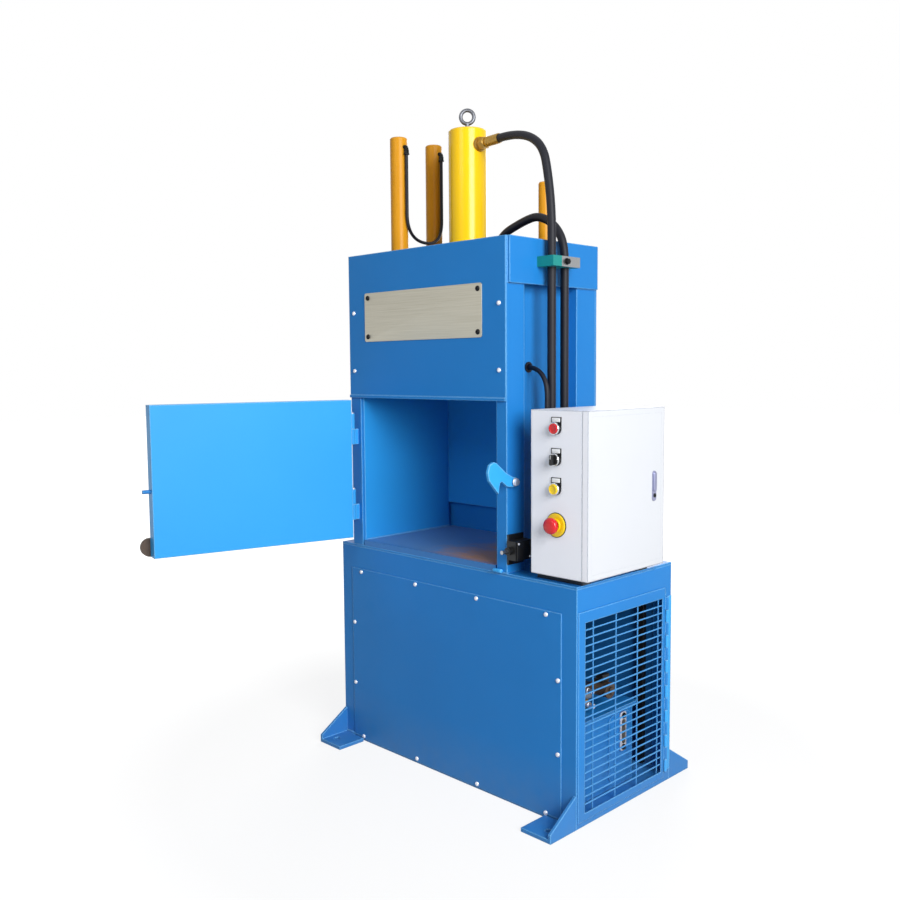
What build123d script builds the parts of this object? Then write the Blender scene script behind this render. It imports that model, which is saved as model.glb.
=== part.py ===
# Hydraulic drum crusher: a steel base cabinet with a power pack, a crushing chamber with a side-hung door,
# a vertical cylinder that drives a guided platen, and a control box on the right.

# Frame: millimetres, +X to the right of the front, +Y to the back, +Z up, origin on the floor at the
# centre of the four anchor holes.
import os
from math import atan2, degrees, hypot

from build123d import *

# Driving dimensions, clearances
seat_gap = 0.3            # between pieces of different bodies that nearly touch
slide_gap = 0.05          # radial, running fits
overrun = 5.0             # how far a cutter passes its wall

# Base cabinet
base_width = 885.0
base_depth = 405.0
base_height = 595.0
top_plate_wall = 6.0
angle_wall = 4.0          # angle-iron frame of the base
angle_front_leg = 52.0
angle_side_leg = 24.0
top_rail_height = 70.0
bottom_rail_height = 24.0
bearer_width = 40.0       # cross bars that carry the tank
panel_wall = 2.0          # screwed front and back sheets
base_panel_side = 45.0    # from the base's corner to the sheet's edge
base_panel_foot = 4.0
base_panel_head = 65.0    # from the sheet's top to the base's
screw_inset = 10.0        # from a sheet's edge to its screws
screw_head_span = 9.0     # across the flats
screw_head_height = 3.5

# Feet
foot_width = 92.0
foot_reach = 97.0
foot_wall = 10.0
gusset_wall = 8.0
gusset_height = 84.0
gusset_nose = 12.0
anchor_side = 34.0        # hole from the foot's outer edge
anchor_reach = 62.0       # hole from the cabinet's face
anchor_hole = 18.0
foot_notch = 7.0          # clears the screwed sheets and their screws

# Crushing chamber
chamber_inset = 53.0      # from the base's left side
side_bay = 221.0          # from the chamber's right side to the base's
chamber_depth = 361.5
chamber_rise = 841.0      # above the base
left_post_width = 43.0
right_post_width = 34.0
front_post_depth = 67.0
back_post_depth = 81.0
post_wall = 4.0
liner_wall = 6.0
back_wall = 6.0
back_liner_wall = 12.0
drain_slot = 77.0         # under the back liner, above the bed
bed_wall = 16.0
header_wall = 6.0
header_height = 80.0
opening_rise = 434.0      # above the base
top_rail_depth = 40.0     # cross tubes at the chamber's top
top_tube_height = 50.0
band_wall = 8.0           # flat band round the top of the sides
band_height = 115.0
band_setback = 4.0
deck_wall = 25.0
ledge_width = 15.0        # bars under the deck's sides
ledge_height = 20.0
deck_rise = 655.0         # above the base

# Upper front sheet and the bare plate on it
upper_panel_wall = 3.0
hem_height = 8.0
hem_depth = 3.0
upper_screw_low = 77.0    # above the sheet's lower edge
upper_screw_high = 243.0
upper_screw_side = 22.0
plate_far_side = 79.0     # from the sheet's right edge
plate_height = 137.0
plate_wall = 2.0
plate_low = 160.0         # above the sheet's lower edge
plate_side = 72.0         # from the sheet's left edge
plate_screw_inset = 14.0

# Main cylinder
barrel_diameter = 106.0
barrel_bore_diameter = 90.0
barrel_rise = 518.0       # above the deck
barrel_drop = 10.0        # below the deck
cap_wall = 40.0
cap_chamfer = 3.0
flange_diameter = 184.0
flange_wall = 25.0
flange_bolt_circle_diameter = 150.0
flange_bolt_count = 8
flange_bolt_span = 19.0
flange_bolt_height = 11.0
gland_collar = 20.0
gland_depth = 60.0        # inside the bore
rod_diameter = 56.0
piston_height = 45.0
piston_park_gap = 3.0
port_from_top = 46.0      # cap port under the barrel's top
rod_port_rise = 52.0      # above the deck
eye_ring_outer = 47.0
eye_ring_wire = 10.5
eye_boss_diameter = 22.0
eye_shank_diameter = 12.0
eye_boss_height = 3.0
eye_neck = 16.0
eye_thread_depth = 25.0
eye_turn = 45.0           # degrees, the ring's hole faces between front and right

# Platen and its guides
platen_park_rise = 11.0   # underside at rest, above the opening's top
platen_wall = 20.0
platen_side_gap = 4.0
platen_front_gap = 4.0
rib_height = 50.0
rib_wall = 12.0
rib_spacing = 150.0
ram_boss_diameter = 104.0
guide_boss_extra = 24.0
sleeve_drop = 75.0        # below the deck
sleeve_flange_extra = 36.0
sleeve_flange_wall = 12.0
sleeve_cap_wall = 8.0
vent_diameter = 12.0
vent_stub = 8.0           # from the sleeve to the line's axis
vent_nut_length = 22.0
vent_line_diameter = 9.0
vent_loop_rise = 225.0    # lowest point of the line, above the deck
vent_bend_share = 0.39    # of the way between the two sleeves
vent_drop = 28.0
left_sleeve_diameter = 49.0
left_rod_diameter = 32.0
left_sleeve_rise = 510.0  # above the deck
rear_sleeve_rise = 522.0
right_sleeve_diameter = 35.0
right_rod_diameter = 22.0
right_sleeve_rise = 366.0
front_left_guide_x = 137.0   # from the chamber's left side
front_left_guide_y = 75.0    # from the chamber's front
rear_left_guide_x = 98.0
rear_left_guide_y = 249.0
rear_right_guide_x = 118.0   # from the chamber's right side
rear_right_guide_y = 290.0

# Hoses, clamp and cable
hose_diameter = 22.0
hose_offset = 33.0        # from the chamber's right side to the hoses
press_hose_y = 135.0      # from the chamber's front
return_hose_y = 187.0
press_bend_share = 0.74   # of the free span between fitting and hose line
press_route_shares = ((0.781, 0.0), (1.0, -0.898))   # out and up, of the free span
return_bend_share = 0.355
return_route_shares = ((0.0, 0.404), (0.602, 0.61), (0.966, 0.493), (1.0, 0.12))
fitting_nut_span = 30.0
fitting_nut_length = 30.0
ferrule_diameter = 27.0
ferrule_length = 56.0
elbow_reach = 38.0
elbow_diameter = 24.0
clamp_depth = 53.0
clamp_length = 108.0
clamp_from_top = 71.0     # under the chamber's top
clamp_cover_start = 34.0  # behind the clamp's front end
clamp_height = 26.0
clamp_cover_wall = 4.0
clamp_bolt_span = 13.0
clamp_bolt_height = 8.0
cable_diameter = 12.0
cable_out_y = 122.0
cable_out_rise = 84.0     # above the opening's top
cable_down_x = 44.0       # from the chamber's right side
cable_down_y = 104.0
cable_bend = 60.0
grommet_flange = 5.0
grommet_wall = 3.0
grommet_rim = 3.0
grommet_slack = 2.1       # radial, where the cable leaves at a slant

# Door
door_free_gap = 4.0       # from the door's free edge to the chamber's right side
door_foot_gap = 11.0      # above the bed
door_head_gap = 6.0       # under the opening's top
door_depth = 38.0
door_sheet = 4.0
door_rib_width = 40.0
door_jamb_gap = 1.0
door_edge_gap = 10.0      # from the hinge axis to the door's edge
door_axis_x = 25.0        # from the chamber's left side
door_open_angle = 103.4
hinge_barrel = 16.0
hinge_pin = 9.0
hinge_half = 45.0
hinge_low_rise = 50.0     # above the door's lower edge
hinge_high_drop = 130.0   # under the door's upper edge
hinge_leaf_wall = 8.0
catch_diameter = 10.5
catch_reach = 21.0
catch_rise = 175.0        # above the door's lower edge
disc_diameter = 49.0
disc_wall = 13.0
disc_bolt_span = 17.0
disc_bolt_height = 5.0

# Latch hook
hook_wall = 8.0
hook_gap = 3.0
hook_pivot_y = 17.0       # behind the chamber's front
hook_pivot_rise = 29.8    # above the catch
hook_stud = 11.0
hook_eye = 12.0           # radius of the hook round its stud
stud_head_span = 17.0
stud_head_height = 7.0

# Door switch
switch_width = 34.0
switch_length = 62.0
switch_height = 48.0
switch_rise = 10.0        # above the door's lower edge
switch_front = 6.0        # ahead of the chamber's front
switch_foot_wall = 6.0
switch_foot_extra = 14.0
plunger_diameter = 10.0
plunger_reach = 33.0
plunger_travel = 6.0
plunger_guide = 20.0
plunger_guide_reach = 12.0

# Control box
box_overhang = 32.0       # past the base's right side
box_width = 172.0
box_length = 317.0
box_height = 400.0
box_raise = 16.0
box_wall = 2.0
box_ahead = 2.0           # ahead of the base's front
box_door_depth = 17.5
box_rim = 14.0
box_strip_width = 30.0
box_strip_inset = 24.0
back_plate_wall = 3.0
back_plate_margin = 30.0
back_plate_standoff = 10.0
contactor_width = 45.0
contactor_height = 80.0
contactor_depth = 70.0
contactor_count = 3
rail_height = 35.0
rail_depth = 8.0
lock_width = 16.0
lock_height = 76.0
lock_depth = 6.0
lock_round = 5.0
lock_spindle_diameter = 9.0
lock_nut_diameter = 20.0
lock_nut_wall = 4.0
lock_side = 46.0          # from the door's rear edge
lock_from_middle = 3.0

# Pilot devices on the box's front wall
device_x = 79.0           # from the box's left wall
red_share = 0.8925        # of the box's height, above its underside
selector_share = 0.7075
yellow_share = 0.5325
estop_share = 0.315
bezel_diameter = 30.0
bezel_reach = 10.0
device_bore_diameter = 22.0
button_diameter = 25.0
button_reach = 6.0
button_travel = 4.0
stem_bore_diameter = 13.0
device_body_depth = 40.0
device_nut = 28.0
device_nut_wall = 6.0
legend_width = 30.0
legend_height = 27.0      # above the device's centre
legend_wall = 1.5
knob_length = 26.0
knob_width = 9.0
knob_reach = 14.0
knob_base = 24.0
knob_base_reach = 3.0
estop_disc_diameter = 60.0
estop_disc_wall = 2.0
estop_head_diameter = 40.0
estop_head_wall = 15.0
estop_head_round = 5.0
estop_neck = 22.0
estop_neck_reach = 14.0
estop_travel = 5.0

# Service door with wire mesh
service_wall = 2.5
service_front = 4.0       # from the base's front
service_low = 14.0
service_head = 57.0       # under the base's top
window_front = 30.0
window_back = 362.0
window_low = 33.0
window_head = 85.0        # under the base's top
wire_diameter = 4.0
wire_overlap = 4.0        # past the window's edges
wire_rows = 23
wire_columns = 4
wire_first_column = 41.0  # behind the window's front edge
wire_column_pitch = 94.0
piano_axis_y = 380.0      # from the base's front
piano_knuckle = 9.0
piano_pin = 3.0
piano_low = 30.0
piano_knuckles = 14
piano_head = 26.0         # under the sheet's top
piano_knuckle_gap = 0.5
piano_leaf = 20.0
piano_leaf_wall = 1.5
piano_edge_gap = 1.0

# Power pack
tank_right = 45.0         # from the base's right side
tank_front = 40.0
tank_length = 360.0
tank_depth = 257.0
tank_height = 206.0
tank_wall = 3.0
lid_wall = 6.0
lid_lip = 10.0
gauge_width = 26.0
gauge_height = 104.0
gauge_depth = 14.0
gauge_round = 8.0
gauge_y = 205.0           # behind the tank's front
gauge_low = 92.0          # above the tank's underside
motor_x = 100.0           # from the tank's left end
motor_diameter = 138.0
motor_headroom = 57.0
motor_fin_count = 12
motor_fin_reach = 8.0
motor_fin_wall = 4.0
bell_diameter = 110.0
bell_height = 56.0
bell_flange = 150.0
bell_flange_wall = 10.0
fan_cover_diameter = 150.0
fan_cover_height = 40.0
terminal_width = 70.0
terminal_height = 80.0
terminal_depth = 34.0
pump_diameter = 80.0
pump_length = 110.0
valve_width = 76.0
valve_depth = 130.0
valve_height = 90.0
solenoid_side = 40.0
solenoid_length = 60.0
filler_diameter = 60.0
filler_height = 46.0
filler_neck = 40.0
filler_neck_height = 14.0
filler_x = 60.0           # from the tank's right end
filler_y = 60.0           # from the tank's front

# Places that follow from the sizes
base_left = -base_width / 2
base_right = base_width / 2
base_front = -base_depth / 2
base_back = base_depth / 2
base_inner_top = base_height - top_plate_wall
base_panel_top = base_inner_top - base_panel_head
service_top = base_inner_top - service_head
window_high = base_inner_top - window_head
piano_knuckle_length = (service_top - piano_head - piano_low) / piano_knuckles
chamber_width = base_width - chamber_inset - side_bay
chamber_top = base_height + chamber_rise
opening_top = base_height + opening_rise
deck_top = base_height + deck_rise
chamber_left = base_left + chamber_inset
chamber_right = chamber_left + chamber_width
chamber_front = base_front
chamber_back = chamber_front + chamber_depth
inner_left = chamber_left + left_post_width + liner_wall
inner_right = chamber_right - right_post_width - liner_wall
bed_top = base_height + bed_wall
liner_left = inner_left - liner_wall
liner_right = inner_right + liner_wall
back_liner_front = chamber_back - back_liner_wall
deck_foot = deck_top - deck_wall
plate_width = chamber_width - plate_side - plate_far_side
barrel_top = deck_top + barrel_rise
barrel_foot = deck_foot - barrel_drop
rod_port_height = deck_top + rod_port_rise
platen_park = opening_top + platen_park_rise
sleeve_foot = deck_foot - sleeve_drop
clamp_low = chamber_top - clamp_from_top
cable_out_height = opening_top + cable_out_rise
door_low = bed_top + door_foot_gap
door_height = opening_top - door_head_gap - door_low
door_width = chamber_width - door_axis_x - door_edge_gap - door_free_gap
hinge_low = door_low + hinge_low_rise
hinge_high = door_low + door_height - hinge_high_drop
catch_height = door_low + catch_rise
hook_pivot_height = catch_height + hook_pivot_rise
switch_low = door_low + switch_rise
upper_panel_front = chamber_front - upper_panel_wall
ram_x = (chamber_left + chamber_right) / 2
ram_y = (chamber_front + chamber_back) / 2
hose_x = chamber_right + hose_offset
press_y = chamber_front + press_hose_y
return_y = chamber_front + return_hose_y
cable_x = chamber_right + cable_down_x
cable_y = chamber_front + cable_down_y
axis_x = chamber_left + door_axis_x
axis_y = chamber_front - door_jamb_gap - door_depth / 2
hook_y = chamber_front + hook_pivot_y
box_right = base_right + box_overhang
box_left = box_right - box_width
box_front = base_front - box_ahead
box_back = box_front + box_length
box_low = base_height + box_raise
box_shell_right = box_right - box_door_depth
button_x = box_left + device_x
red_height = red_share * box_height
selector_height = selector_share * box_height
yellow_height = yellow_share * box_height
estop_height = estop_share * box_height
stem = stem_bore_diameter - 2 * slide_gap
piano_x = base_right + piano_knuckle / 2
piano_y = base_front + piano_axis_y
tank_x1 = base_right - tank_right
tank_x0 = tank_x1 - tank_length
tank_y0 = base_front + tank_front
tank_y1 = tank_y0 + tank_depth
lid_top = bottom_rail_height + tank_height + lid_wall
motor_foot = lid_top + bell_flange_wall + bell_height
motor_height = base_inner_top - motor_headroom - fan_cover_height - motor_foot
valve_x = hose_x
valve_y = (press_y + return_y) / 2
valve_top = lid_top + valve_height
guides = {
    "front_left": (chamber_left + front_left_guide_x, chamber_front + front_left_guide_y,
                   left_sleeve_diameter, left_rod_diameter, deck_top + left_sleeve_rise),
    "rear_left": (chamber_left + rear_left_guide_x, chamber_front + rear_left_guide_y,
                  left_sleeve_diameter, left_rod_diameter, deck_top + rear_sleeve_rise),
    "rear_right": (chamber_right - rear_right_guide_x, chamber_front + rear_right_guide_y,
                   right_sleeve_diameter, right_rod_diameter, deck_top + right_sleeve_rise),
}
low_corner = (Align.MIN, Align.MIN, Align.MIN)
stand = (Align.CENTER, Align.CENTER, Align.MIN)


# Shapes that many pieces share
def slab(x0, x1, y0, y1, z0, z1):
    return Pos(x0, y0, z0) * Box(x1 - x0, y1 - y0, z1 - z0, align=low_corner)


def post(x, y, z0, z1, diameter):
    return Pos(x, y, z0) * Cylinder(diameter / 2, z1 - z0, align=stand)


def bar_x(x0, x1, y, z, diameter):
    return Pos(x0, y, z) * Rot(0, 90, 0) * Cylinder(diameter / 2, x1 - x0, align=stand)


def bar_y(x, y0, y1, z, diameter):
    return Pos(x, y0, z) * Rot(-90, 0, 0) * Cylinder(diameter / 2, y1 - y0, align=stand)


def hexagon(span, height):
    return extrude(RegularPolygon(span / 2, 6, major_radius=False), height)


def head_on_front(x, y, z, span, height):
    return Pos(x, y, z) * Rot(90, 0, 0) * hexagon(span, height)


def tube(x0, x1, y0, y1, z0, z1, wall):
    return slab(x0, x1, y0, y1, z0, z1) - slab(
        x0 + wall, x1 - wall, y0 + wall, y1 - wall, z0 - overrun, z1 + overrun)


def hose(points, bend, diameter):
    path = FilletPolyline(*points, radius=bend)
    start = Plane(origin=path @ 0, z_dir=path % 0)
    return sweep(start * Circle(diameter / 2), path)


# Base cabinet
def make_base_frame():
    frame = None
    for x_side in (-1, 1):
        for y_side in (-1, 1):
            x = base_left if x_side < 0 else base_right
            y = base_front if y_side < 0 else base_back
            face_leg = slab(min(x, x - x_side * angle_front_leg), max(x, x - x_side * angle_front_leg),
                            min(y, y - y_side * angle_wall), max(y, y - y_side * angle_wall),
                            0, base_inner_top)
            side_leg = slab(min(x, x - x_side * angle_wall), max(x, x - x_side * angle_wall),
                            min(y, y - y_side * angle_side_leg), max(y, y - y_side * angle_side_leg),
                            0, base_inner_top)
            corner = face_leg + side_leg
            frame = corner if frame is None else frame + corner
    rails = [(0, bottom_rail_height), (base_inner_top - top_rail_height, base_inner_top)]
    for z0, z1 in rails:
        frame += slab(base_left, base_right, base_front, base_front + angle_wall, z0, z1)
        frame += slab(base_left, base_right, base_back - angle_wall, base_back, z0, z1)
        for x0 in (base_left, base_right - angle_wall):
            frame += slab(x0, x0 + angle_wall, base_front, base_back, z0, z1)
    for x in (tank_x0 + bearer_width, tank_x1 - bearer_width):
        frame += slab(x - bearer_width / 2, x + bearer_width / 2, base_front, base_back,
                      bottom_rail_height - angle_wall, bottom_rail_height)
    return frame


def make_base_panel(y0, y1):
    return slab(base_left + base_panel_side, base_right - base_panel_side,
                y0, y1, base_panel_foot, base_panel_top)


def make_left_panel():
    x0 = base_left + angle_wall
    y0, y1 = base_front + angle_wall, base_back - angle_wall
    pan_top = bottom_rail_height - angle_wall
    sheet = slab(x0, x0 + panel_wall, y0, y1, pan_top - panel_wall, base_inner_top)
    return sheet + slab(x0, base_right - angle_wall, y0, y1, pan_top - panel_wall, pan_top)


def base_screw_places():
    left = base_left + base_panel_side
    right = base_right - base_panel_side
    low = base_panel_foot + screw_inset
    high = base_panel_top - screw_inset
    across_shares = (0.055, 0.35, 0.645, 0.94)
    up_shares = (0.325, 0.68)
    places = []
    for share in across_shares:
        x = left + share * (right - left)
        places += [(x, low), (x, high)]
    for share in up_shares:
        z = base_panel_foot + share * (base_panel_top - base_panel_foot)
        places += [(left + screw_inset, z), (right - screw_inset, z)]
    return places


def make_top_plate():
    plate = slab(base_left, base_right, base_front, base_back, base_inner_top, base_height)
    for x, y, diameter in grommet_places():
        plate -= post(x, y, base_inner_top - overrun, base_height + overrun, diameter + 2 * grommet_wall)
    return plate


def make_foot(x_side, y_side):
    x_outer = base_left if x_side < 0 else base_right
    y_face = base_front if y_side < 0 else base_back
    x_inner = x_outer - x_side * foot_width
    y_tip = y_face + y_side * foot_reach
    plate = slab(min(x_outer, x_inner), max(x_outer, x_inner), min(y_face, y_tip), max(y_face, y_tip),
                 0, foot_wall)
    hole_x = x_outer - x_side * anchor_side
    hole_y = y_face + y_side * anchor_reach
    plate -= post(hole_x, hole_y, -overrun, foot_wall + overrun, anchor_hole)
    x_notch = x_outer - x_side * (base_panel_side - seat_gap)
    x_past = x_inner - x_side * overrun
    y_past = y_face - y_side * overrun
    y_notch = y_face + y_side * foot_notch
    plate -= slab(min(x_notch, x_past), max(x_notch, x_past), min(y_past, y_notch), max(y_past, y_notch),
                  -overrun, foot_wall + overrun)
    profile = Polyline((y_face, foot_wall), (y_tip, foot_wall), (y_tip, foot_wall + gusset_nose),
                       (y_face, gusset_height), close=True)
    gusset = extrude(Plane.YZ * make_face(profile), gusset_wall)
    return plate + Pos(min(x_outer, x_outer - x_side * gusset_wall), 0, 0) * gusset


# Crushing chamber
def make_chamber_frame():
    posts = [
        (chamber_left, liner_left, chamber_front, chamber_front + front_post_depth),
        (liner_right, chamber_right, chamber_front, chamber_front + front_post_depth),
        (chamber_left, liner_left, chamber_back - back_post_depth, chamber_back),
        (liner_right, chamber_right, chamber_back - back_post_depth, chamber_back),
    ]
    frame = None
    for x0, x1, y0, y1 in posts:
        leg = tube(x0, x1, y0, y1, base_height, chamber_top, post_wall)
        leg += slab(x0, x1, y0, y1, chamber_top - post_wall, chamber_top)
        frame = leg if frame is None else frame + leg
    cross_low = chamber_top - top_tube_height
    for y0 in (chamber_front, chamber_back - top_rail_depth):
        frame += slab(liner_left, liner_right, y0, y0 + top_rail_depth, cross_low, chamber_top)
    frame += slab(liner_left, liner_right, chamber_front, chamber_front + header_wall,
                  opening_top, opening_top + header_height)
    for x0, x1 in ((chamber_left - band_wall, chamber_left), (chamber_right, chamber_right + band_wall)):
        frame += slab(x0, x1, chamber_front + band_setback, chamber_back,
                      chamber_top - band_height, chamber_top)
    stud = bar_x(chamber_right - post_wall, chamber_right + hook_gap + hook_wall + hook_gap,
                 hook_y, hook_pivot_height, hook_stud)
    return frame + stud


def make_side_wall(x0, ledge_x):
    y0 = chamber_front + header_wall
    wall = slab(x0, x0 + liner_wall, y0, back_liner_front, base_height, chamber_top - top_tube_height)
    return wall + slab(ledge_x, ledge_x + ledge_width, y0, back_liner_front,
                       deck_foot - ledge_height, deck_foot)


def make_right_wall():
    hole = bar_x(liner_right - liner_wall - overrun, liner_right + overrun, chamber_front + cable_out_y,
                 cable_out_height, cable_diameter + 2 * grommet_wall)
    return make_side_wall(inner_right, inner_right - ledge_width) - hole


def make_back_plate():
    return slab(chamber_left, chamber_right, chamber_back, chamber_back + back_wall, base_height, chamber_top)


def make_back_liner():
    return slab(liner_left, liner_right, back_liner_front, chamber_back, bed_top + drain_slot, deck_foot)


def make_bed():
    return slab(inner_left, inner_right, chamber_front, chamber_back, base_height, bed_top)


def make_deck():
    deck = slab(inner_left, inner_right, chamber_front + header_wall, chamber_back, deck_foot, deck_top)
    deck -= post(ram_x, ram_y, deck_foot - overrun, deck_top + overrun, barrel_diameter + 2 * seat_gap)
    for x, y, sleeve, rod, top in guides.values():
        deck -= post(x, y, deck_foot - overrun, deck_top + overrun, sleeve + 2 * seat_gap)
    return deck


def make_upper_panel():
    sheet = slab(chamber_left, chamber_right, upper_panel_front, chamber_front, opening_top, chamber_top)
    return sheet + slab(chamber_left, chamber_right, upper_panel_front - hem_depth, upper_panel_front,
                        opening_top, opening_top + hem_height)


def plate_corner():
    return chamber_left + plate_side, opening_top + plate_low


def make_nameplate():
    x, z = plate_corner()
    return slab(x, x + plate_width, upper_panel_front - plate_wall, upper_panel_front, z, z + plate_height)


# Main cylinder
def make_barrel():
    outer = Pos(0, 0, barrel_foot) * Cylinder(barrel_diameter / 2, barrel_top - barrel_foot, align=stand)
    outer = chamfer(outer.edges().sort_by(Axis.Z)[-1:], cap_chamfer)
    outer += Pos(0, 0, deck_top) * Cylinder(flange_diameter / 2, flange_wall, align=stand)
    bore_top = barrel_top - cap_wall
    outer -= post(0, 0, barrel_foot - overrun, bore_top, barrel_bore_diameter)
    outer -= post(0, 0, barrel_top - eye_thread_depth, barrel_top + overrun, eye_shank_diameter)
    return Pos(ram_x, ram_y, 0) * outer


def make_gland():
    ring = post(0, 0, barrel_foot, barrel_foot + gland_depth, barrel_bore_diameter)
    ring += post(0, 0, barrel_foot - gland_collar, barrel_foot, barrel_diameter)
    ring -= post(0, 0, barrel_foot - gland_collar - overrun, barrel_foot + gland_depth + overrun,
                 rod_diameter + 2 * slide_gap)
    return Pos(ram_x, ram_y, 0) * ring


def make_eye_bolt():
    ring_radius = (eye_ring_outer - eye_ring_wire) / 2
    boss_top = barrel_top + eye_boss_height
    ring_height = boss_top + eye_neck + ring_radius
    eye = post(0, 0, barrel_top, boss_top, eye_boss_diameter)
    eye += post(0, 0, barrel_top - eye_thread_depth, ring_height - ring_radius, eye_shank_diameter)
    eye += Pos(0, 0, ring_height) * Rot(90, 0, 0) * Torus(ring_radius, eye_ring_wire / 2)
    return Pos(ram_x, ram_y, 0) * Rot(0, 0, eye_turn) * eye


# Platen, ram and guides
def make_platen():
    x0 = inner_left + platen_side_gap
    x1 = inner_right - platen_side_gap
    y0 = chamber_front + header_wall + platen_front_gap
    y1 = back_liner_front - platen_front_gap
    top = platen_park + platen_wall
    platen = slab(x0, x1, y0, y1, platen_park, top)
    for y in (ram_y - rib_spacing / 2, ram_y + rib_spacing / 2):
        platen += slab(x0, x1, y - rib_wall / 2, y + rib_wall / 2, top, top + rib_height)
    platen += slab(ram_x - rib_wall / 2, ram_x + rib_wall / 2, y0, y1, top, top + rib_height)
    platen += post(ram_x, ram_y, top, top + rib_height, ram_boss_diameter)
    platen -= post(ram_x, ram_y, top, top + rib_height + overrun, rod_diameter)
    for x, y, sleeve, rod, height in guides.values():
        platen += post(x, y, top, top + rib_height, rod + guide_boss_extra)
        platen -= post(x, y, top, top + rib_height + overrun, rod)
    return platen


def make_ram():
    piston_top = barrel_top - cap_wall - piston_park_gap
    shaft = post(ram_x, ram_y, platen_park + platen_wall, piston_top - piston_height, rod_diameter)
    return shaft + post(ram_x, ram_y, piston_top - piston_height, piston_top,
                        barrel_bore_diameter - 2 * slide_gap)


def make_guide_rods():
    rods = []
    for x, y, sleeve, rod, top in guides.values():
        rods.append(post(x, y, platen_park + platen_wall, top - sleeve_cap_wall - piston_park_gap, rod))
    return rods


def make_sleeve(x, y, sleeve, rod, top):
    body = post(x, y, sleeve_foot, top, sleeve)
    body = chamfer(body.edges().sort_by(Axis.Z)[-1:], cap_chamfer)
    body += post(x, y, deck_top, deck_top + sleeve_flange_wall, sleeve + sleeve_flange_extra)
    body -= post(x, y, sleeve_foot - overrun, top - sleeve_cap_wall, rod + 2 * slide_gap)
    if top - deck_top >= left_sleeve_rise:
        body -= bar_x(x, x + sleeve, y, top - vent_drop, vent_diameter)
    return body


def make_vent_lines():
    parts, ends = [], []
    for name in ("front_left", "rear_left"):
        x, y, sleeve, rod, top = guides[name]
        z = top - vent_drop
        x1 = x + sleeve / 2 + vent_stub
        stub = bar_x(x + rod / 2 + seat_gap, x1, y, z, vent_diameter)
        stub += Pos(x1, y, z) * Sphere(vent_diameter / 2)
        parts.append(stub + post(x1, y, z - vent_nut_length, z, vent_diameter))
        ends.append((x1, y, z - vent_nut_length))
    low = deck_top + vent_loop_rise
    (x0, y0, z0), (x1, y1, z1) = ends
    points = [ends[0], (x0, y0, low), (x1, y1, low), ends[1]]
    parts.append(hose(points, vent_bend_share * hypot(x1 - x0, y1 - y0), vent_line_diameter))
    return parts


# Hoses, fittings, clamp, cable
def toward(x, y):
    length = hypot(x - ram_x, y - ram_y)
    return (x - ram_x) / length, (y - ram_y) / length


def free_span(y, reach):
    return hypot(hose_x - ram_x, y - ram_y) - reach


def make_hose(y, reach, z, route_shares, bend_share):
    dx, dy = toward(hose_x, y)
    span = free_span(y, reach)
    points = [(ram_x + dx * reach, ram_y + dy * reach, z)]
    for out_share, up_share in route_shares:
        out = reach + out_share * span
        points.append((ram_x + dx * out, ram_y + dy * out, z + up_share * span))
    points.append((hose_x, y, valve_top + ferrule_length))
    return hose(points, bend_share * span, hose_diameter)


def make_press_hose():
    reach = barrel_diameter / 2 + fitting_nut_length + ferrule_length
    return make_hose(press_y, reach, barrel_top - port_from_top, press_route_shares, press_bend_share)


def make_return_hose():
    reach = barrel_diameter / 2 + elbow_reach
    return make_hose(return_y, reach, rod_port_height + ferrule_length, return_route_shares, return_bend_share)


def make_fittings():
    parts = []
    dx, dy = toward(hose_x, press_y)
    turn = degrees(atan2(dy, dx))
    at_port = Pos(ram_x, ram_y, barrel_top - port_from_top) * Rot(0, 0, turn)
    radius = barrel_diameter / 2
    nut_end = radius + fitting_nut_length
    nut = hexagon(fitting_nut_span, fitting_nut_length + cap_chamfer)
    nut = Pos(radius - cap_chamfer, 0, 0) * Rot(0, 90, 0) * nut
    ferrule = bar_x(nut_end, nut_end + ferrule_length, 0, 0, ferrule_diameter)
    trim = post(0, 0, -fitting_nut_span, fitting_nut_span, barrel_diameter)
    parts.append(at_port * (nut + ferrule - trim))
    dx, dy = toward(hose_x, return_y)
    turn = degrees(atan2(dy, dx))
    at_port = Pos(ram_x, ram_y, rod_port_height) * Rot(0, 0, turn)
    elbow = bar_x(radius - cap_chamfer, radius + elbow_reach, 0, 0, elbow_diameter)
    elbow += Pos(radius + elbow_reach, 0, 0) * Sphere(elbow_diameter / 2)
    elbow += post(radius + elbow_reach, 0, 0, ferrule_length, ferrule_diameter)
    parts.append(at_port * (elbow - trim))
    for y in (press_y, return_y):
        parts.append(post(hose_x, y, valve_top, valve_top + ferrule_length, ferrule_diameter))
    return parts


def make_clamp_body():
    x0 = chamber_right + band_wall
    x1 = x0 + clamp_depth - clamp_cover_wall
    y0 = (press_y + return_y - clamp_length) / 2
    body = slab(x0, x1, y0, y0 + clamp_length, clamp_low, clamp_low + clamp_height)
    body += slab(x1, x1 + clamp_cover_wall, y0, y0 + clamp_cover_start, clamp_low, clamp_low + clamp_height)
    for y in (press_y, return_y):
        body -= post(hose_x, y, clamp_low - overrun, clamp_low + clamp_height + overrun,
                     hose_diameter + 2 * seat_gap)
    return body


def make_clamp_cover():
    x1 = chamber_right + band_wall + clamp_depth
    y0 = (press_y + return_y - clamp_length) / 2
    return slab(x1 - clamp_cover_wall, x1, y0 + clamp_cover_start, y0 + clamp_length,
                clamp_low, clamp_low + clamp_height)


def cable_points():
    return [(inner_right, chamber_front + cable_out_y, cable_out_height),
            (cable_x, cable_y, cable_out_height), (cable_x, cable_y, lid_top + valve_height)]


def grommet_places():
    return [(hose_x, press_y, hose_diameter), (hose_x, return_y, hose_diameter),
            (cable_x, cable_y, cable_diameter)]


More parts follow.
